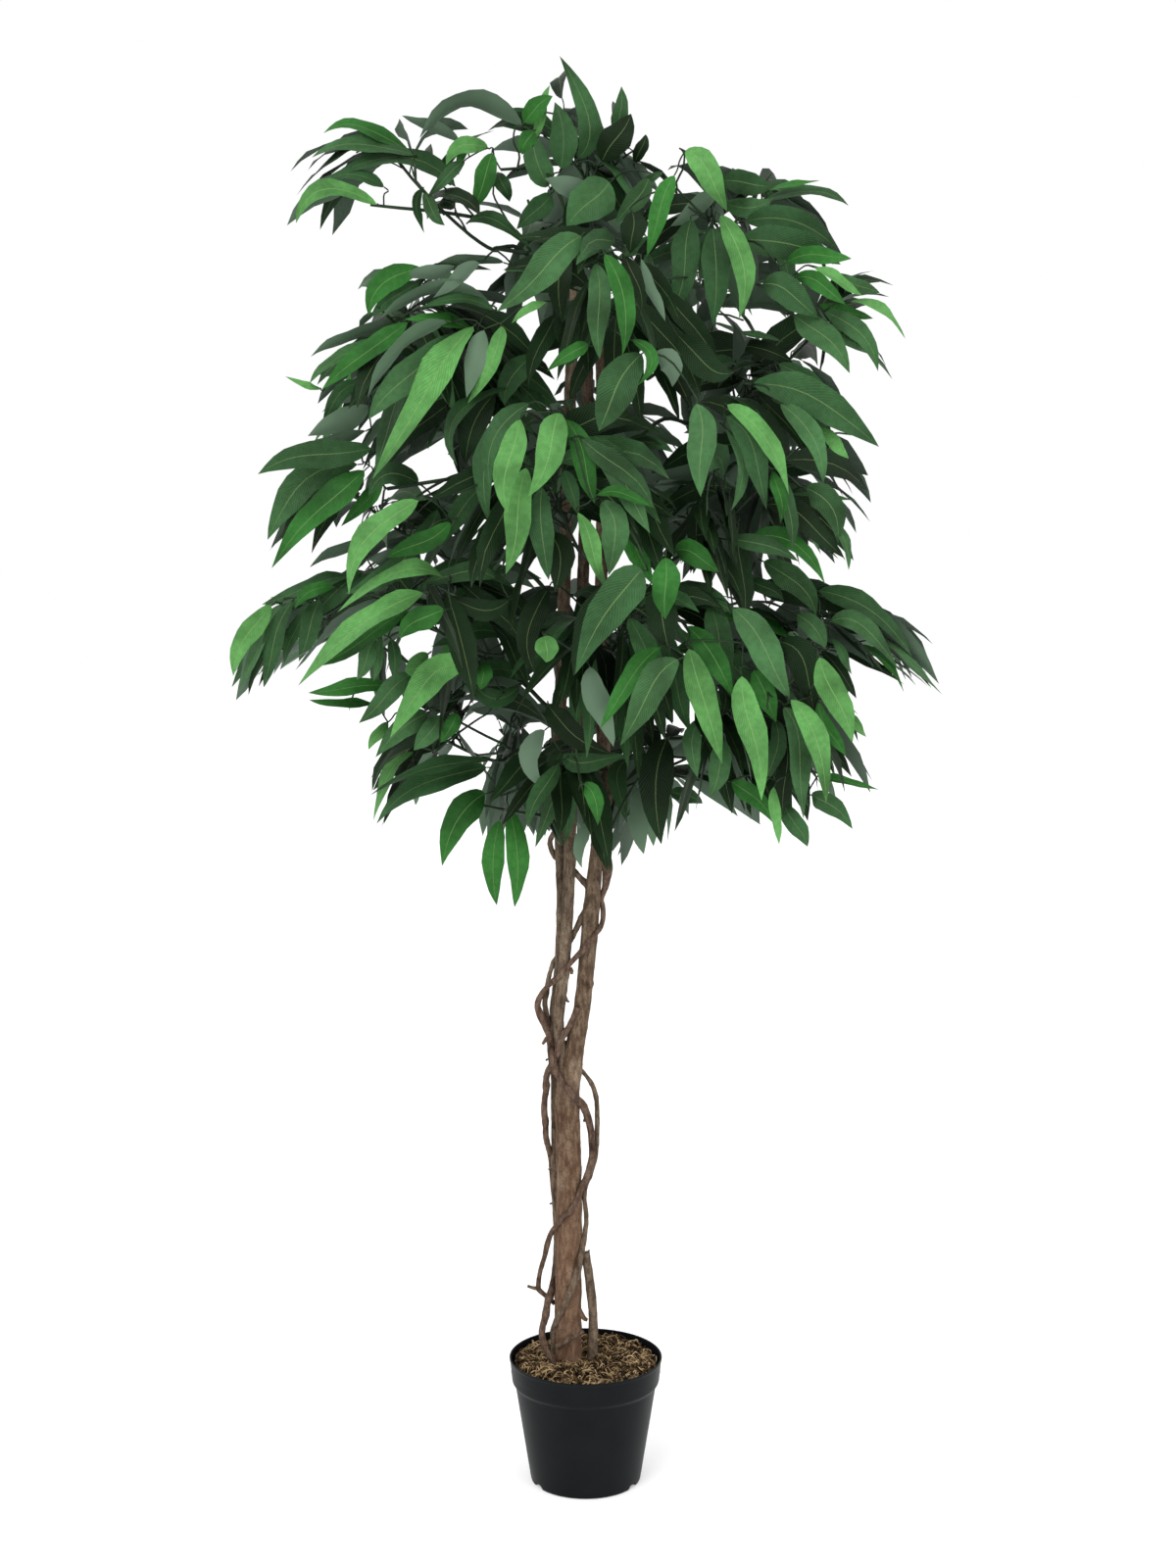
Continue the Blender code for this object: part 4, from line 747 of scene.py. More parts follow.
def black_plastic():
    """Moulded plastic with a faint drift in its tone and polish."""
    finish = Finish("black_plastic", 0.42, 0.07)
    cloud = finish.noise(22.0, 3.0)
    finish.colour(finish.ramp(cloud, ((0.30, (0.0046, 0.0056, 0.0062)), (0.75, (0.0066, 0.0078, 0.0086)))))
    drift = finish.rescale(cloud, 0.0, 1.0, 0.34, 0.50)
    finish.tree.links.new(drift, finish.shader.inputs["Roughness"])
    finish.bump(finish.noise(900.0, 2.0), 0.06, 0.0003)
    return finish.material


def cement():
    finish = Finish("cement", 0.92)
    finish.colour(finish.ramp(finish.noise(120.0, 4.0), (
        (0.3, (0.30, 0.29, 0.27)), (0.7, (0.48, 0.47, 0.44)))))
    finish.bump(finish.noise(400.0, 3.0), 0.5, 0.001)
    return finish.material


# Pot and moss.

POT_STEPS = 120
NOTCH_BEARINGS = (-31, -149, 31, 149)
NOTCH_HALF = 6.5          # degrees
NOTCH_TOP = 0.0045
CORNER = 0.0008
FOOT_RING = 0.0012        # height of the floor's underside inside the foot ring
FLOOR_TOP = 0.0030
SHARP_EDGE = 0.7          # radians
MOSS_STEPS = 96
MOSS_RINGS = 36
MOSS_DEPTH = 0.020
MOSS_STRANDS = 1500
MOSS_LUMPS = 420
MOSS_TONES = {
    # The dark tone is partly dark fibres and partly painted shade in the gaps between the strands.
    "dark": ((0.006, 0.004, 0.0025), (0.032, 0.020, 0.011)),
    "brown": ((0.040, 0.024, 0.012), (0.150, 0.096, 0.047)),
    "tan": ((0.210, 0.138, 0.070), (0.620, 0.440, 0.240)),
}
MOSS_SLOPE = (0.060, 0.032)          # where the bed begins to fall, and over what distance
MOSS_LUMPINESS = (36, 0.0050)        # how close together, and how high
MOSS_TUFTS = (120, 0.0020)
STRAND_PARTS = 5
STRAND_SHAPE = (1.0, 1.2, 1.0, 1.0, 0.8, 0.4)
STRAND_LENGTH = (0.009, 0.030)
STRAND_TURN = (-2.4, 2.4)            # radians
STRAND_ARCH = (0.0004, 0.0076)
STRAND_RADIUS = (0.00035, 0.00095)
STRAND_LIFT = 0.0006
LUMP_SIZE = (0.0015, 0.0046)


def rounded(corners, radius, steps=3):
    """A profile with its corners rounded off."""
    points = []
    for index, corner in enumerate(corners):
        here = Vector(corner)
        before = Vector(corners[index - 1]) if index else None
        after = Vector(corners[index + 1]) if index + 1 < len(corners) else None
        if before is None or after is None:
            points.append(here)
            continue
        reach = min(radius, (before - here).length * 0.45, (after - here).length * 0.45)
        first = here + (before - here).normalized() * reach
        last = here + (after - here).normalized() * reach
        for step in range(steps + 1):
            t = step / steps
            points.append(first * (1 - t) ** 2 + here * 2 * t * (1 - t) + last * t ** 2)
    return points


def spun(profile, steps):
    """A turned shape: the profile's points are radius and height."""
    bm = bmesh.new()
    verts = [bm.verts.new((point[0], 0.0, point[1])) for point in profile]
    edges = [bm.edges.new(pair) for pair in zip(verts, verts[1:])]
    bmesh.ops.spin(bm, geom=verts + edges, cent=(0, 0, 0), axis=(0, 0, 1), angle=math.tau,
                   steps=steps, use_merge=True)
    bmesh.ops.remove_doubles(bm, verts=bm.verts, dist=MERGE)
    bmesh.ops.recalc_face_normals(bm, faces=bm.faces)
    smooth_faces(bm)
    return bm


def make_pot():
    band_foot = POT_HEIGHT - BAND_HEIGHT
    band_radius = RIM_RADIUS - BAND_LEAN
    body_radius = band_radius - BAND_STEP
    outer = rounded((
        (RIM_RADIUS - WALL, POT_HEIGHT - 0.02), (RIM_RADIUS - WALL, POT_HEIGHT), (RIM_RADIUS, POT_HEIGHT),
        (RIM_RADIUS - 0.0004, POT_HEIGHT - 0.0030), (RIM_RADIUS - 0.0010, POT_HEIGHT - 0.0040),
        (band_radius, band_foot + 0.001), (band_radius - 0.0006, band_foot - 0.0010),
        (body_radius + 0.0006, band_foot - 0.0050), (body_radius, band_foot - 0.0075),
        (FOOT_RADIUS, FOOT_CHAMFER), (FOOT_RADIUS - 0.0010, 0.0), (FOOT_RADIUS - 0.012, 0.0),
        (FOOT_RADIUS - 0.014, FOOT_RING), (0.0, FOOT_RING)), CORNER)
    inner = rounded((
        (0.0, FLOOR_TOP), (FOOT_RADIUS - FOOT_CHAMFER, FLOOR_TOP),
        (FOOT_RADIUS - WALL, FOOT_CHAMFER + FLOOR_TOP),
        (body_radius - WALL, band_foot), (band_radius - WALL, band_foot + 0.0015),
        (RIM_RADIUS - WALL, POT_HEIGHT - 0.02)), CORNER)
    bm = spun(outer + inner[1:], POT_STEPS)
    for vert in bm.verts:
        bearing = math.degrees(math.atan2(vert.co.y, vert.co.x))
        near = min(abs(bearing - notch) for notch in NOTCH_BEARINGS)
        if near < NOTCH_HALF and vert.co.z < NOTCH_TOP and vert.co.xy.length > FOOT_RADIUS - 0.013:
            vert.co.z = NOTCH_TOP
    bmesh.ops.remove_doubles(bm, verts=bm.verts, dist=MERGE)
    for edge in bm.edges:
        if len(edge.link_faces) == 2 and edge.calc_face_angle() > SHARP_EDGE:
            edge.smooth = False
    make_piece("pot_shell", bm, [black_plastic()], ["pot"])


def moss_height(x, y):
    """Height of the moss bed, which is lumpy and falls towards the wall."""
    start, width = MOSS_SLOPE
    edge = max(0.0, (math.hypot(x, y) - start) / width)
    close, high = MOSS_LUMPINESS
    lumps = noise.noise(Vector((x * close, y * close, 3.0))) * high
    close, high = MOSS_TUFTS
    tufts = noise.noise(Vector((x * close, y * close, 7.0))) * high
    return COVER_TOP + MOSS_RISE - COVER_DROP * edge ** 1.5 + lumps + tufts


def moss_spot(rng, reach):
    """A place on the moss, not farther out than reach."""
    while True:
        x, y = rng.uniform(-MOSS_EDGE, MOSS_EDGE), rng.uniform(-MOSS_EDGE, MOSS_EDGE)
        if math.hypot(x, y) <= reach:
            return x, y


def moss_tone(rng):
    """A fifth of the strands are dark, partly dark fibres and partly painted shade between the strands. Half
    of the rest are brown and half are tan.
    """
    if rng.random() < 0.20:
        return "dark"
    return "brown" if rng.random() < 0.50 else "tan"


def moss_strand(bm, rng):
    """One curled strand that lies on the bed and arches off it."""
    x, y = moss_spot(rng, MOSS_EDGE - 0.004)
    heading = rng.uniform(0.0, math.tau)
    length = rng.uniform(*STRAND_LENGTH)
    turn = rng.uniform(*STRAND_TURN)
    hump = rng.uniform(*STRAND_ARCH)
    wall = MOSS_EDGE - 0.001
    points = []
    for step in range(STRAND_PARTS + 1):
        t = step / STRAND_PARTS
        limit = wall / max(math.hypot(x, y), wall)
        place = Vector((x * limit, y * limit, 0.0))
        arch = hump * math.sin(math.pi * min(1.0, t * 1.15))
        place.z = moss_height(place.x, place.y) + STRAND_LIFT + arch
        points.append(place)
        x += math.cos(heading + turn * t) * length / STRAND_PARTS
        y += math.sin(heading + turn * t) * length / STRAND_PARTS
    thick = rng.uniform(*STRAND_RADIUS)
    tube(bm, points, [thick * share for share in STRAND_SHAPE], 3)


def moss_lump(bm, rng):
    """One flattened lump, turned any way."""
    x, y = moss_spot(rng, MOSS_EDGE - 0.006)
    size = rng.uniform(*LUMP_SIZE)
    turned = Quaternion((rng.random(), rng.random(), rng.random()), rng.uniform(0, math.tau))
    place = Matrix.Translation((x, y, moss_height(x, y) + size * 0.3))
    sides = Matrix.Diagonal((size, size * rng.uniform(0.4, 0.9), size * rng.uniform(0.2, 0.5), 1.0))
    bmesh.ops.create_icosphere(bm, subdivisions=1, radius=1.0,
                               matrix=place @ turned.normalized().to_matrix().to_4x4() @ sides)


def make_moss():
    profile = [(MOSS_EDGE * step / MOSS_RINGS, COVER_TOP) for step in range(MOSS_RINGS + 1)]
    profile += [(MOSS_EDGE - 0.0008, COVER_TOP - MOSS_DEPTH), (0.0, COVER_TOP - MOSS_DEPTH)]
    bed = spun(profile, MOSS_STEPS)
    for vert in bed.verts:
        if vert.co.z > COVER_TOP - 0.001:
            vert.co.z = moss_height(vert.co.x, vert.co.y)
    finishes = {tone: dry_moss(f"moss_{tone}", *shades) for tone, shades in MOSS_TONES.items()}
    # The bed takes the dark tone: painted shade under and between the strands.
    make_piece("moss_bed", bed, [finishes["dark"]], ["moss_cover"])
    rng = random.Random("moss")
    heaps = {tone: bmesh.new() for tone in MOSS_TONES}
    for _ in range(MOSS_STRANDS):
        moss_strand(heaps[moss_tone(rng)], rng)
    for _ in range(MOSS_LUMPS):
        moss_lump(heaps[rng.choice(("dark", "brown", "brown", "tan"))], rng)
    for tone, heap in heaps.items():
        make_piece(f"moss_strands_{tone}", heap, [finishes[tone]], ["moss_cover"])


# Poles and lianas.

BARK_STEP = 0.0055
BARK_HIGHEST = 0.0040
POLE_EASE = (-0.012, 0.0, 0.012)
POLE_SIDES = 16
SIDES_A_METRE = 2600      # of a pole's radius
LIANA_BARK_STEP = 0.0045
LIANA_SIDES = 14
SWELLS = 14
SWELL_SHORTNESS = 90
SHOOT_POINTS = 7
SHOOT_SIDES = 9
KNOTS = {
    "trunk": ((0.236, -60, 0.0040), (0.318, -110, 0.0030), (0.405, -40, 0.0034), (0.470, -140, 0.0036),
              (0.541, -78, 0.0050), (0.583, -88, 0.0056), (0.655, 10, 0.0026), (0.700, -80, 0.0026)),
    "left_pole": ((0.610, -120, 0.0026), (0.742, 170, 0.0024), (0.845, -100, 0.0024)),
    "middle_pole": ((0.668, -20, 0.0036), (0.760, -60, 0.0030), (0.826, -115, 0.0046)),
    "peg": ((0.248, -40, 0.0020),),
}


def bark_relief(seed, knots=()):
    """What bark adds to a limb's radius: faint ridges, lumps, flakes and a few knots."""

    def relief(place, radius):
        ridge = noise.noise(Vector((place.x * 330, place.y * 330, place.z * 60 + seed)))
        lump = noise.noise(Vector((place.x * 60, place.y * 60, place.z * 62 + seed)))
        flake = noise.noise(Vector((place.x * 260, place.y * 260, place.z * 230 + seed)))
        added = radius * (0.035 * ridge + 0.085 * lump) + 0.00055 * flake
        for spot, size in knots:
            near = (place - spot).length / size
            added += size * 0.45 * math.exp(-near * near)
        return min(added, BARK_HIGHEST)

    return relief


def make_poles(barks):
    for number, (name, stations) in enumerate(POLES.items()):
        top = stations[-1][0]
        count = int((top - stations[0][0]) / BARK_STEP)
        points = []
        sizes = []
        for step in range(count + 1):
            height = stations[0][0] + (top - stations[0][0]) * step / count
            near = [station(stations, height + shift) for shift in POLE_EASE]
            point = sum((place for place, _ in near), Vector()) / len(near)
            points.append(Vector((point.x, point.y, height)))
            sizes.append(sum(radius for _, radius in near) / len(near))
        knots = []
        for height, bearing, size in KNOTS[name]:
            place, radius = station(stations, height)
            angle = math.radians(bearing)
            knots.append((place + Vector((math.cos(angle), math.sin(angle), 0.0)) * radius, size))
        bm = bmesh.new()
        sides = max(POLE_SIDES, int(sizes[0] * SIDES_A_METRE))
        tube(bm, points, sizes, sides, bark_relief(number * 17.0, knots))
        kind = "red_bark" if name == "trunk" else "grey_bark"
        make_piece(f"{name}_bark", bm, [barks[kind]], [name])


def touches(place, radius, lianas):
    """Whether a liana of this radius would lie on a pole or on another liana at a place."""
    for rows in POLES.values():
        if rows[0][0] <= place.z <= rows[-1][0]:
            centre, size = station(rows, place.z)
            if (place - centre).length < size + radius:
                return True
    return any(abs(place.z - point.z) < 0.02 and (place - point).length < size + radius
               for points, sizes in lianas for point, size in zip(points, sizes))


def lay_depth(pixel, way, radius, lianas):
    """Comes in from the front (-1) or the back (1) until the liana lies on something."""
    depth = way * LAY_REACH
    while depth * way > 0.0:
        if touches(photo_point(pixel, depth), radius * LAY_SINK, lianas):
            return depth
        depth -= way * LAY_STEP
    return 0.0


def eased_depths(depths, turns):
    """Evens out the depths, but never moves a liana into what it lies on."""
    for _ in range(4):
        eased = []
        for index in range(len(depths)):
            near = depths[max(index - 1, 0):index + 2]
            eased.append(sum(near) / len(near))
        depths = [min(a, b) if turn < 0 else max(a, b) if turn > 0 else b
                  for a, b, turn in zip(depths, eased, turns)]
    return depths


def liana_course(rows, lianas):
    """Points and radii of a liana that is laid along its pixels, on the poles and earlier lianas."""
    length = sum(math.dist(a[:2], b[:2]) for a, b in zip(rows, rows[1:]))
    count = int(length / LAY_SPACING)
    ways = {"f": -1.0, "b": 1.0}
    course = smooth_points([(x, y, ways.get(deep, 0.0)) for x, y, deep, _ in rows], count)
    widths = smooth_points([(width, 0.0 if deep in ways else deep, 0.0) for _, _, deep, width in rows], count)
    sizes = [width / 2 / PIXELS_A_METRE for width, _, _ in widths]
    turns = [-1 if way < -0.5 else 1 if way > 0.5 else 0 for _, _, way in course]
    depths = [lay_depth((x, y), turn, radius, lianas) if turn else deep / 100
              for (x, y, _), (_, deep, _), radius, turn in zip(course, widths, sizes, turns)]
    depths = eased_depths(depths, turns)
    return [photo_point((x, y), depth) for (x, y, _), depth in zip(course, depths)], sizes


def swollen(name, points, sizes):
    """A finer course, with radii that swell here and there."""
    reach = sum((b - a).length for a, b in zip(points, points[1:]))
    count = int(reach / LIANA_BARK_STEP)
    rng = random.Random(name)
    swells = [(rng.uniform(0.05, 0.95), rng.uniform(0.08, 0.24)) for _ in range(SWELLS)]
    last = len(sizes) - 1
    fine_sizes = []
    for step in range(count):
        share = step / (count - 1)
        place = min(int(share * last), last - 1)
        size = sizes[place] + (sizes[place + 1] - sizes[place]) * (share * last - place)
        gains = (gain * math.exp(-((share - at) * SWELL_SHORTNESS) ** 2) for at, gain in swells)
        fine_sizes.append(size * (1.0 + sum(gains)))
    return smooth_points(points, count), fine_sizes


def make_lianas(barks):
    """Lays each liana, lumps its bark, and returns the courses."""
    lianas = []
    for number, (name, rows) in enumerate(LIANAS.items()):
        points, sizes = liana_course(rows, lianas)
        lianas.append((points, sizes))
        bm = bmesh.new()
        tube(bm, *swollen(name, points, sizes), LIANA_SIDES, bark_relief(100.0 + number * 13.0))
        kind = "liana_red" if name in ("liana_main", "liana_cut") else "grey_bark"
        make_piece(f"{name}_bark", bm, [barks[kind]], [name])
    return lianas


def make_shoots(barks):
    """Side shoots, splinters and knobs that stand out from the poles and lianas."""
    for number, (kind, deep, width, pixels) in enumerate(SHOOTS):
        keys = [photo_point(pixel, deep / 100) for pixel in pixels]
        radius = width / 2 / PIXELS_A_METRE
        sizes = [radius * (1.1 - 0.45 * step / (SHOOT_POINTS - 1)) for step in range(SHOOT_POINTS)]
        bm = bmesh.new()
        tube(bm, smooth_points(keys, SHOOT_POINTS), sizes, SHOOT_SIDES, bark_relief(300.0 + number * 7))
        make_piece(f"shoot_{number + 1}", bm, [barks[kind]], [])


# Crown: boughs, twigs and leaves, by the rule of the part's source.

class Space:
    """The room a mass may fill: an ellipsoid, less what lies nearer to its neighbours."""

    def __init__(self, name):
        self.centre = Vector(MASSES[name][0])
        self.radii = Vector(MASSES[name][1])
        self.walls = []
        own_size = sum(self.radii) / 3
        for other, row in MASSES.items():
            if other == name:
                continue
            size = sum(row[1]) / 3
            away = Vector(row[0]) - self.centre
            reach = away.length
            meet = (reach * reach + own_size ** 2 - size ** 2) / (2 * reach)
            self.walls.append((away.normalized(), meet - CELL_MARGIN))

    def holds(self, point, ease=0.0):
        """Whether a point lies in the room, or no farther outside than ease."""
        out = point - self.centre
        share = sum((out[i] / (self.radii[i] + ease)) ** 2 for i in range(3))
        return share < 1.0 and all(out.dot(away) < wall + ease for away, wall in self.walls)


def make_boughs(spaces, limbs, plastic):
    """Boughs from the poles to the masses, and where each mass's stem begins."""
    starts = {}
    bm = bmesh.new()
    replaced = []
    for name, (centre, _, carrier, base, has_bough, _, _) in MASSES.items():
        centre = Vector(centre)
        if name == "top":
            last = POLES["trunk"][-1]
            starts[name] = (Vector((last[1], last[2], base + GAP)), UP.copy())
            continue
        pole, radius = station(POLES[carrier], base)
        out = Vector((centre.x - pole.x, centre.y - pole.y, 0.0)).normalized()
        foot = pole + out * (radius + 2 * GAP)
        if not has_bough:
            starts[name] = (foot, out)
            continue
        inward = (foot - centre).normalized()
        door = centre.copy()
        while spaces[name].holds(door + inward * DOOR_DEPTH) and (foot - door).length > BOUGH_LEAST:
            door += inward * DOOR_STEP
        arch = foot.lerp(door, 0.55) + UP * (door - foot).length * BOUGH_ARCH
        points = smooth_points((foot, foot + out * BOUGH_SQUARE, arch, door), BOUGH_POINTS)
        points[1] = foot + out * BOUGH_SQUARE
        first, last = BOUGH_RADII
        fine = smooth_points([pole + out * radius * 0.7] + points, BOUGH_RINGS)
        sizes = [first + (last - first) * ring / (BOUGH_RINGS - 1) for ring in range(BOUGH_RINGS)]
        tube(bm, fine, sizes, BOUGH_SIDES)
        limbs.append((points, [first] * BOUGH_POINTS))
        replaced.append(f"bough_{name}")
        starts[name] = (door, (points[-1] - points[-2]).normalized())
    make_piece("green_boughs", bm, [plastic], replaced)
    return starts


def mass_stem(space, foot, heading):
    """The stem arches from its foot over the crest of the space, and the leaves hang from it."""
    centre = space.centre
    reach = (centre - foot).length
    outward = Vector((centre.x - foot.x, centre.y - foot.y, 0.0))
    if outward.length < space.radii.x / 4:
        return [foot, foot.lerp(centre, 0.1), foot.lerp(centre, 0.7), centre.copy()], heading
    outward.normalize()
    crest = centre + UP * space.radii.z * STEM_CREST
    end = crest + outward * min(space.radii) * STEM_BEYOND
    knee = foot + heading * reach * 0.4
    stem = smooth_points((foot, foot + heading * 0.010, knee.lerp(crest, 0.4), end), STEM_POINTS)
    stem[1] = foot + heading * 0.008
    return stem, outward


def grow_twigs(name, space, stem, outward, limbs):
    """Twigs fan out from the outer half of the stem, each with a bend."""
    twigs = []
    for number in range(TWIGS_A_MASS):
        rng = random.Random(f"{name} twig {number}")
        for attempt in range(LEAF_TRIES):
            root, ahead = along_line(stem, 0.95 - 0.55 * number / TWIGS_A_MASS)
            side = (number // 2 + 1) * (-1) ** number
            fan = math.radians(TWIG_FAN * side + rng.uniform(-TWIG_STRAY, TWIG_STRAY))
            aim = Quaternion(UP, fan + attempt * 0.7) @ outward
            if abs(ahead.z) > 0.8:
                aim = Quaternion(UP, number * GOLDEN_ANGLE) @ Vector((1.0, 0.0, 0.8))
            aim += UP * rng.uniform(-0.15, 0.45)
            length = min(space.radii) * rng.uniform(*TWIG_SHARE) * (1.0 - 0.03 * attempt)
            tip = root + aim.normalized() * length
            middle = root.lerp(tip, 0.5) + UP * length * TWIG_BEND * rng.uniform(0.2, 1.0)
            line = smooth_points((root, middle, tip), TWIG_POINTS)
            if any(in_sky(point) or not space.holds(point) for point in line[1:]) or struck(line, limbs):
                continue
            twigs.append(line)
            break
    return twigs


def struck(line, tree):
    """Whether a line of points runs into a limb."""
    return any(tree.ray_cast(first, last - first, (last - first).length)[0]
               for first, last in zip(line, line[1:]))


class Leaf:
    """One leaf: a curved midline from root to tip, a width, and the way its top faces."""

    def __init__(self, root, bend, tip, width, facing, tint, twist, ripple, along):
        self.root = root
        self.bend = bend
        self.tip = tip
        self.half = width / 2
        self.facing = facing
        self.tint = tint
        self.twist = twist
        self.ripple = ripple
        self.along = along
        self.sway = (tip - root).length * LEAF_SWAY * math.sin(ripple * 5.0)

    def midline(self, t):
        return self.root * (1 - t) ** 2 + self.bend * 2 * t * (1 - t) + self.tip * t ** 2

    def frame(self, t):
        """Heading, side and top direction at a share of the length."""
        ahead = (self.bend - self.root) * (1 - t) + (self.tip - self.bend) * t
        ahead.normalize()
        side = ahead.cross(self.facing)
        if side.length < 1e-4:
            side = ahead.orthogonal()
        side = Quaternion(ahead, self.twist * (t - 0.5)) @ side.normalized()
        return ahead, side, side.cross(ahead)

    def half_width(self, t):
        return self.half * (t / LEAF_WIDEST) ** 0.72 * ((1 - t) / (1 - LEAF_WIDEST)) ** 1.02

    def place(self, across, t, lower=0.0):
        """A point of the blade: across from -1 to 1, t from root to tip, lower for the underside."""
        _, side, above = self.frame(t)
        wide = self.half_width(t)
        fold = LEAF_FOLD * abs(across) - LEAF_CUP * across * across
        wave = EDGE_WAVE * math.sin(t * 11.0 + self.ripple + across * 2.0) * across * across
        lift = wide * (fold + wave) - lower * (1 - across * across) * math.sin(math.pi * t) ** 0.3
        drift = self.sway * math.sin(math.tau * t) + wide * 0.05 * math.sin(t * 17.0 + self.ripple) * across
        return self.midline(t) + side * (wide * across + drift) + above * lift

    def outline(self):
        """A coarse copy for testing what the leaf touches."""
        rows = (0.22, 0.42, 0.66, 0.86)
        corners = [self.midline(0.04)]
        for t in rows:
            corners += [self.place(-1.0, t), self.place(1.0, t)]
        corners.append(self.tip)
        faces = [(0, 2, 1)]
        for row in range(len(rows) - 1):
            low = 1 + row * 2
            faces.append((low, low + 1, low + 3, low + 2))
        last = len(corners) - 1
        faces.append((last - 2, last - 1, last))
        return corners, faces


def add_leaf(bm, leaf):
    """Shapes two flat grids into a leaf's top and underside, which meet along its edge."""
    part = bmesh.new()
    layer = part.loops.layers.uv.new("UVMap")
    columns = len(LEAF_ACROSS)
    for lower, material in ((0.0, 0), (LEAF_THICKNESS, 1)):
        made = bmesh.ops.create_grid(part, x_segments=columns - 1, y_segments=len(leaf.along) - 1,
                                     size=1.0)["verts"]
        spots = {}
        for number, vert in enumerate(made):
            spots[vert] = (LEAF_ACROSS[number % columns], leaf.along[number // columns])
            vert.co = leaf.place(*spots[vert], lower)
        faces = list({face for vert in made for face in vert.link_faces})
        for face in faces:
            face.material_index = material
            face.smooth = True
            for loop in face.loops:
                across, along = spots[loop.vert]
                loop[layer].uv = (across / 2 + 0.5, along)
        if lower:
            bmesh.ops.reverse_faces(part, faces=faces)
    bmesh.ops.remove_doubles(part, verts=part.verts, dist=MERGE)
    for edge in part.edges:
        backs = [face.material_index == 1 for face in edge.link_faces]
        edge.smooth = all(backs) or not any(backs)
    add_part(bm, part)


def seen_leaves():
    """The leaves that the photograph shows one by one, set at their own pixels."""
    leaves = {}
    for name, rows in SEEN_LEAVES.items():
        rng = random.Random(f"{name} seen")
        middle = MASSES[name][0][1]
        leaves[name] = []
        for x0, y0, x1, y1, x2, y2, width, letter, forward in rows:
            depth = middle - forward / 100
            root = photo_point((x0, y0), depth + 0.010)
            waist = photo_point((x1, y1), depth - 0.004)
            tip = photo_point((x2, y2), depth + rng.uniform(-0.004, 0.016))
            bend = 2 * waist - (root + tip) / 2
            length = (waist - root).length + (tip - waist).length
            seen = width * (CAMERA_PLACE - waist).length / FOCAL_PIXELS
            full = max(seen, min(length * LEAF_ASPECT, seen * LEAF_WIDEN))
            turn = math.acos(min(1.0, seen / full))
            if letter.islower():
                turn = math.pi - turn
            ahead = (tip - root).normalized()
            look = (CAMERA_PLACE - waist).normalized()
            look = (look - ahead * look.dot(ahead)).normalized()
            ways = [Quaternion(ahead, turn * way) @ look for way in (1, -1)]
            facing = max(ways, key=lambda way: way.z)
            leaves[name].append(Leaf(root, bend, tip, full, facing, TINTS[letter.upper()],
                                     rng.uniform(-0.35, 0.35), rng.uniform(0.0, 6.0), SEEN_ALONG))
    return leaves


def tree_of(corner_lists):
    """One search tree over several leaves' outlines."""
    corners = []
    faces = []
    for more, rows in corner_lists:
        faces += [tuple(index + len(corners) for index in row) for row in rows]
        corners += more
    return BVHTree.FromPolygons(corners, faces)


def covers(leaf, seen_tree):
    """Whether a leaf would hang in front of one that the photograph shows."""
    spots = [leaf.midline(t) for t in (0.15, 0.35, 0.55, 0.75, 0.95)]
    spots += [leaf.place(across, t) for across in (-0.8, 0.8) for t in (0.30, 0.55)]
    return any(seen_tree.ray_cast(spot, (spot - CAMERA_PLACE).normalized(), 1.0)[0] for spot in spots)


def tint_for(rng, spot):
    """Deep leaves grow mostly towards the middle, and light ones at the back, but seldom in front: the
    near-black deep tint paints the shade inside the crown.
    """
    outer = min(1.0, math.hypot(spot.x, spot.y) / CROWN_REACH)
    light = outer * 1.3 if spot.y > LIGHT_FROM else 0.08
    # More deep leaves towards the middle: painted shade inside the crown.
    weight = {"K": 5.6 - outer * 1.5, "D": 0.9, "M": 0.25 + outer * 0.45, "F": light, "B": light}
    shares = [(letter, share * weight[letter]) for letter, share in TINT_SHARES]
    pick = rng.random() * sum(share for _, share in shares)
    for letter, share in shares:
        pick -= share
        if pick <= 0.0:
            break
    return TINTS[letter]


def near_blades(placed, spot):
    """The blades of leaves that hang near a spot."""
    home = [math.floor(part / LEAF_CELL) for part in spot]
    for x in (-1, 0, 1):
        for y in (-1, 0, 1):
            for z in (-1, 0, 1):
                yield from placed.get((home[0] + x, home[1] + y, home[2] + z), ())


def hang_leaf(rng, space, knot, ahead, out, fall, first_row, shorter):
    """A leaf that hangs from a knot on its stalk, out and down."""
    away = (knot - space.centre).normalized()
    stalk = (out + ahead * 0.6 + away * 0.3).normalized() * rng.uniform(*STALK_LENGTH)
    root = knot + stalk
    aim = out + ahead * (1.4 if first_row else 0.5) + away * 0.5 - UP * fall * 0.9
    aim.normalize()
    length = rng.uniform(*LEAF_GROWN) * shorter
    sink = fall * 0.75 + rng.uniform(0.05, 0.60)
    after = (aim - UP * sink).normalized()
    bend = root + aim * length * 0.5
    tip = bend + after * length * 0.5
    crown_side = Vector((knot.x, knot.y, 0.0)).normalized()
    facing = Quaternion(aim, rng.uniform(-LEAF_ROLL, LEAF_ROLL)) @ (UP * 0.7 + crown_side)
    width = length * LEAF_ASPECT * rng.uniform(0.88, 1.10)
    return Leaf(root, bend, tip, width, facing.normalized(),
                tint_for(rng, tip), rng.uniform(-0.5, 0.5), rng.uniform(0.0, 6.0), GROWN_ALONG)


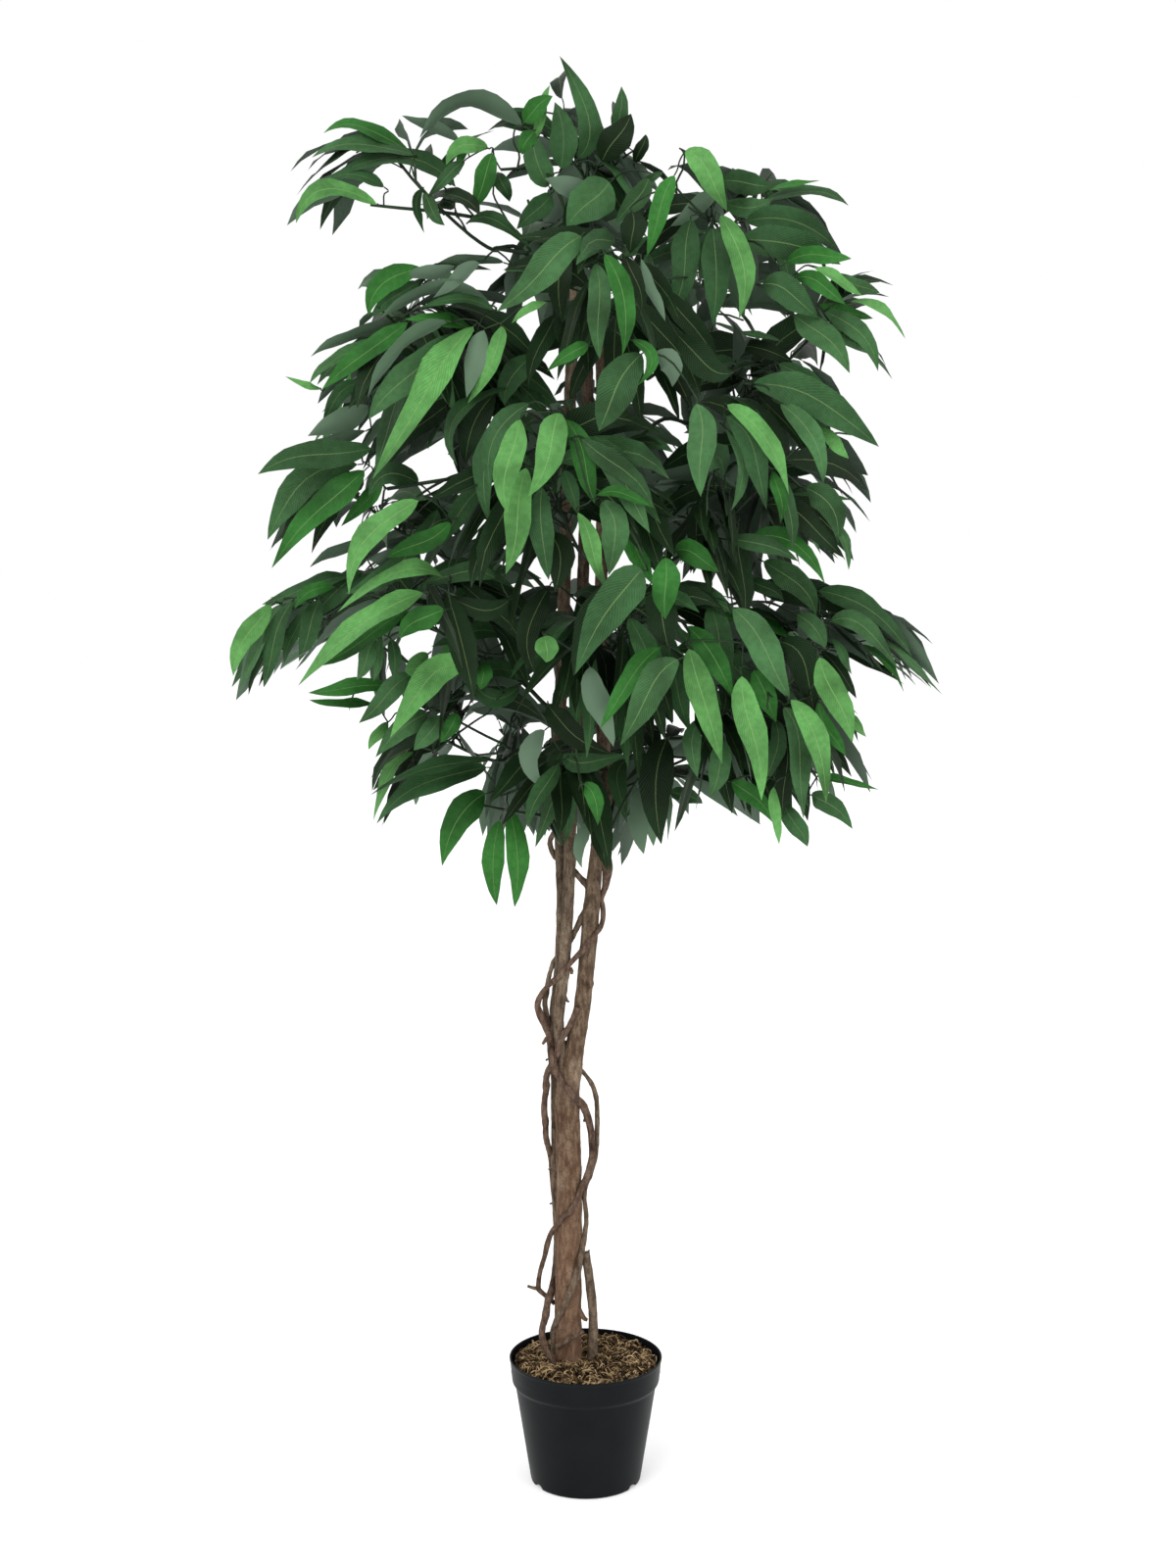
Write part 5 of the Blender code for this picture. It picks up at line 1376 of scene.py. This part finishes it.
def grow_leaves(name, space, shoots, limbs, seen_tree, placed):
    """Leaves hang from the shoots on short stalks, spaced by the golden angle."""
    wanted, fall = MASSES[name][5:7]
    wanted = int(wanted * CROWDING)
    fall = max(fall, LEAST_FALL)
    rows = math.ceil(wanted / len(shoots))
    grown = []
    stalks = []
    used = {0}
    for turn in range(wanted * 4):
        if len(grown) >= wanted:
            break
        shoot = shoots[turn % len(shoots)]
        row, again = (turn // len(shoots)) % rows, turn // (len(shoots) * rows)
        rng = random.Random(f"{name} leaf {turn}")
        low = STEM_LOWEST if shoot is shoots[0] else TWIG_LOWEST
        knot, ahead = along_line(shoot, LEAF_OUTMOST - (LEAF_OUTMOST - low) * (row + 0.3 * again) / rows)
        side = ahead.orthogonal().normalized()
        for attempt in range(LEAF_TRIES):
            bearing = turn * GOLDEN_ANGLE + rng.uniform(-0.6, 0.6) + attempt * 1.3
            out = Quaternion(ahead, bearing) @ side
            leaf = hang_leaf(rng, space, knot, ahead, out, fall, row == 0, 1.0 - 0.012 * attempt)
            corners, faces = leaf.outline()
            if not all(space.holds(point, LEAF_EASE) for point in corners[1:]):
                continue
            if any(in_sky(point) for point in corners) or covers(leaf, seen_tree):
                continue
            blade = BVHTree.FromPolygons(corners, faces)
            middle = leaf.midline(0.5)
            if limbs.overlap(blade) or seen_tree.overlap(blade):
                continue
            if any(blade.overlap(other) for other in near_blades(placed, middle)):
                continue
            grown.append(leaf)
            home = tuple(math.floor(part / LEAF_CELL) for part in middle)
            placed.setdefault(home, []).append(blade)
            stalks.append((knot, ahead, leaf.root))
            used.add(turn % len(shoots))
            break
    return grown, stalks, [shoot for number, shoot in enumerate(shoots) if number in used]


def stalk_line(knot, ahead, root, rng):
    """A stalk leaves its twig, curls a little and meets the leaf's root."""
    length = (root - knot).length
    wander = Vector([rng.uniform(-0.16, 0.16) for _ in range(3)]) * length
    middle = knot.lerp(root, 0.5) + ahead * length * 0.12 + wander + UP * length * 0.10
    return smooth_points((knot, middle, root), STALK_POINTS)


def limb_tree(limbs):
    """A search tree over thickened poles, lianas and boughs."""
    bm = bmesh.new()
    for points, radii in limbs:
        tube(bm, points, [radius + LIMB_MARGIN for radius in radii], LIMB_SIDES)
    found = BVHTree.FromBMesh(bm)
    bm.free()
    return found


def add_seen_twigs(bm, name, shoots):
    """Twigs that the photograph shows, each begun on what lies nearest to it."""
    lines = []
    for mass, depth, radius, pixels in SEEN_TWIGS:
        if mass != name:
            continue
        keys = [photo_point(pixel, depth) for pixel in pixels]
        places = [point for shoot in shoots + lines for point in shoot]
        near = min(places, key=lambda place: (place - keys[0]).length)
        line = smooth_points([near] + keys, 3 * len(keys))
        lines.append(line)
        tube(bm, line, [radius * (1.1 - 0.4 * i / len(line)) for i in range(len(line))], TWIG_SIDES)
    return lines


def add_seen_stalks(bm, leaves, reached, rng):
    """Stalks from the nearest twig to each seen leaf, the nearest leaf first."""
    for leaf in sorted(leaves, key=lambda leaf: min((leaf.root - place).length for place in reached)):
        near = min(reached, key=lambda place: (place - leaf.root).length)
        span = (leaf.root - near).length
        into = (leaf.bend - leaf.root).normalized()
        wander = Vector([rng.uniform(-0.10, 0.10) for _ in range(3)]) * span
        line = smooth_points((near, near.lerp(leaf.root, 0.45) + wander + UP * span * 0.14,
                              leaf.root - into * min(0.010, span * 0.3), leaf.root), WIRE_POINTS)
        thick = min(WIRE_THICKEST, WIRE_RADIUS + span * 0.007)
        sizes = [thick + (WIRE_RADIUS - thick) * i / (WIRE_POINTS - 1) for i in range(WIRE_POINTS)]
        tube(bm, line, sizes, STALK_SIDES)
        reached += line[2:]


def make_crown(lianas, plastic):
    spaces = {name: Space(name) for name in MASSES}
    poles = [([Vector((x, y, height)) for height, x, y, _ in rows], [row[3] for row in rows])
             for rows in POLES.values()]
    limbs = poles + lianas
    starts = make_boughs(spaces, limbs, plastic)
    limbs = limb_tree(limbs)
    seen = seen_leaves()
    seen_tree = tree_of([leaf.outline() for row in seen.values() for leaf in row])
    heaps = {tint: bmesh.new() for tint in TINTS.values()}
    stems = bmesh.new()
    stalks = bmesh.new()
    placed = {}
    for name, space in spaces.items():
        stem, outward = mass_stem(space, *starts[name])
        twigs = grow_twigs(name, space, stem, outward, limbs)
        shoots = [smooth_points(stem, 12)] + twigs
        grown, wires, shoots = grow_leaves(name, space, shoots, limbs, seen_tree, placed)
        seen_ones = add_seen_twigs(stems, name, shoots)
        for number, shoot in enumerate(shoots):
            first = STEM_RADIUS if number == 0 else TWIG_RADIUS
            sizes = [first * (1.0 - 0.35 * i / len(shoot)) for i in range(len(shoot))]
            tube(stems, shoot, sizes, TWIG_SIDES)
        rng = random.Random(f"{name} stalks")
        for knot, ahead, root in wires:
            tube(stalks, stalk_line(knot, ahead, root, rng), STALK_RADII, STALK_SIDES)
        reached = [point for shoot in shoots + seen_ones for point in smooth_points(shoot, 24)]
        add_seen_stalks(stalks, seen.get(name, []), reached, rng)
        for leaf in grown + seen.get(name, []):
            add_leaf(heaps[leaf.tint], leaf)
    nodes = [f"leaves_{name}" for name in MASSES]
    make_piece("twigs", stems, [plastic], nodes)
    make_piece("leaf_stalks", stalks, [plastic], nodes)
    for tint, heap in heaps.items():
        colour = LEAF_COLOURS[tint]
        finishes = [leaf_top(tint, colour), leaf_under(tint, colour)]
        make_piece(f"leaves_{tint}", heap, finishes, nodes)


# Camera, floor and light.

LIGHT_AIM = Vector((0.0, 0.0, 0.95))
FLOOR_RADIUS = 14.0
FLOOR_DROP = 0.0006
FLOOR_GLOW = 0.2


def make_camera():
    data = bpy.data.cameras.new("camera")
    data.sensor_fit = "AUTO"
    data.sensor_width = LONG_SENSOR
    data.lens = FOCAL_PIXELS / PHOTO_HEIGHT * LONG_SENSOR
    camera = add_object("camera", data)
    camera.location = CAMERA_PLACE
    camera.rotation_euler = (math.pi / 2 - CAMERA_PITCH, 0.0, 0.0)
    bpy.context.scene.camera = camera


def make_light(name, place, size, power):
    data = bpy.data.lights.new(name, "AREA")
    data.shape = "DISK"
    data.size = size
    data.energy = power
    lamp = add_object(name, data)
    lamp.location = place
    lamp.rotation_euler = (LIGHT_AIM - Vector(place)).to_track_quat("-Z", "Y").to_euler()


def make_studio():
    world = bpy.data.worlds.new("studio")
    world.use_nodes = True
    sky = world.node_tree.nodes["Background"]
    sky.inputs["Color"].default_value = (*WHITE, 1.0)
    sky.inputs["Strength"].default_value = 1.0
    bpy.context.scene.world = world
    bpy.context.scene.view_settings.view_transform = "Standard"
    make_light("key", (-1.6, -3.2, 3.4), 2.4, 70.0)
    make_light("fill", (2.6, -2.6, 1.8), 2.2, 30.0)
    bm = bmesh.new()
    bmesh.ops.create_circle(bm, cap_ends=True, segments=64, radius=FLOOR_RADIUS,
                            matrix=Matrix.Translation((0.0, 0.0, -FLOOR_DROP)))
    finish = Finish("pale_floor", 0.9, 0.1)
    finish.shader.inputs["Emission Color"].default_value = (*WHITE, 1.0)
    finish.shader.inputs["Emission Strength"].default_value = FLOOR_GLOW
    finish.colour(finish.ramp(finish.noise(2.0, 2.0), ((0.3, (0.97, 0.97, 0.97)), (0.7, (0.99, 0.99, 0.99)))))
    mesh_object("floor", bm, [finish.material])


def main():
    make_camera()
    make_studio()
    barks = {name: bark(name, *tones) for name, tones in BARKS.items()}
    plastic = green_plastic()
    make_pot()
    make_moss()
    make_poles(barks)
    lianas = make_lianas(barks)
    make_shoots(barks)
    make_crown(lianas, plastic)
    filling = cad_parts["filling"]
    filling.data.materials.clear()
    filling.data.materials.append(cement())


main()
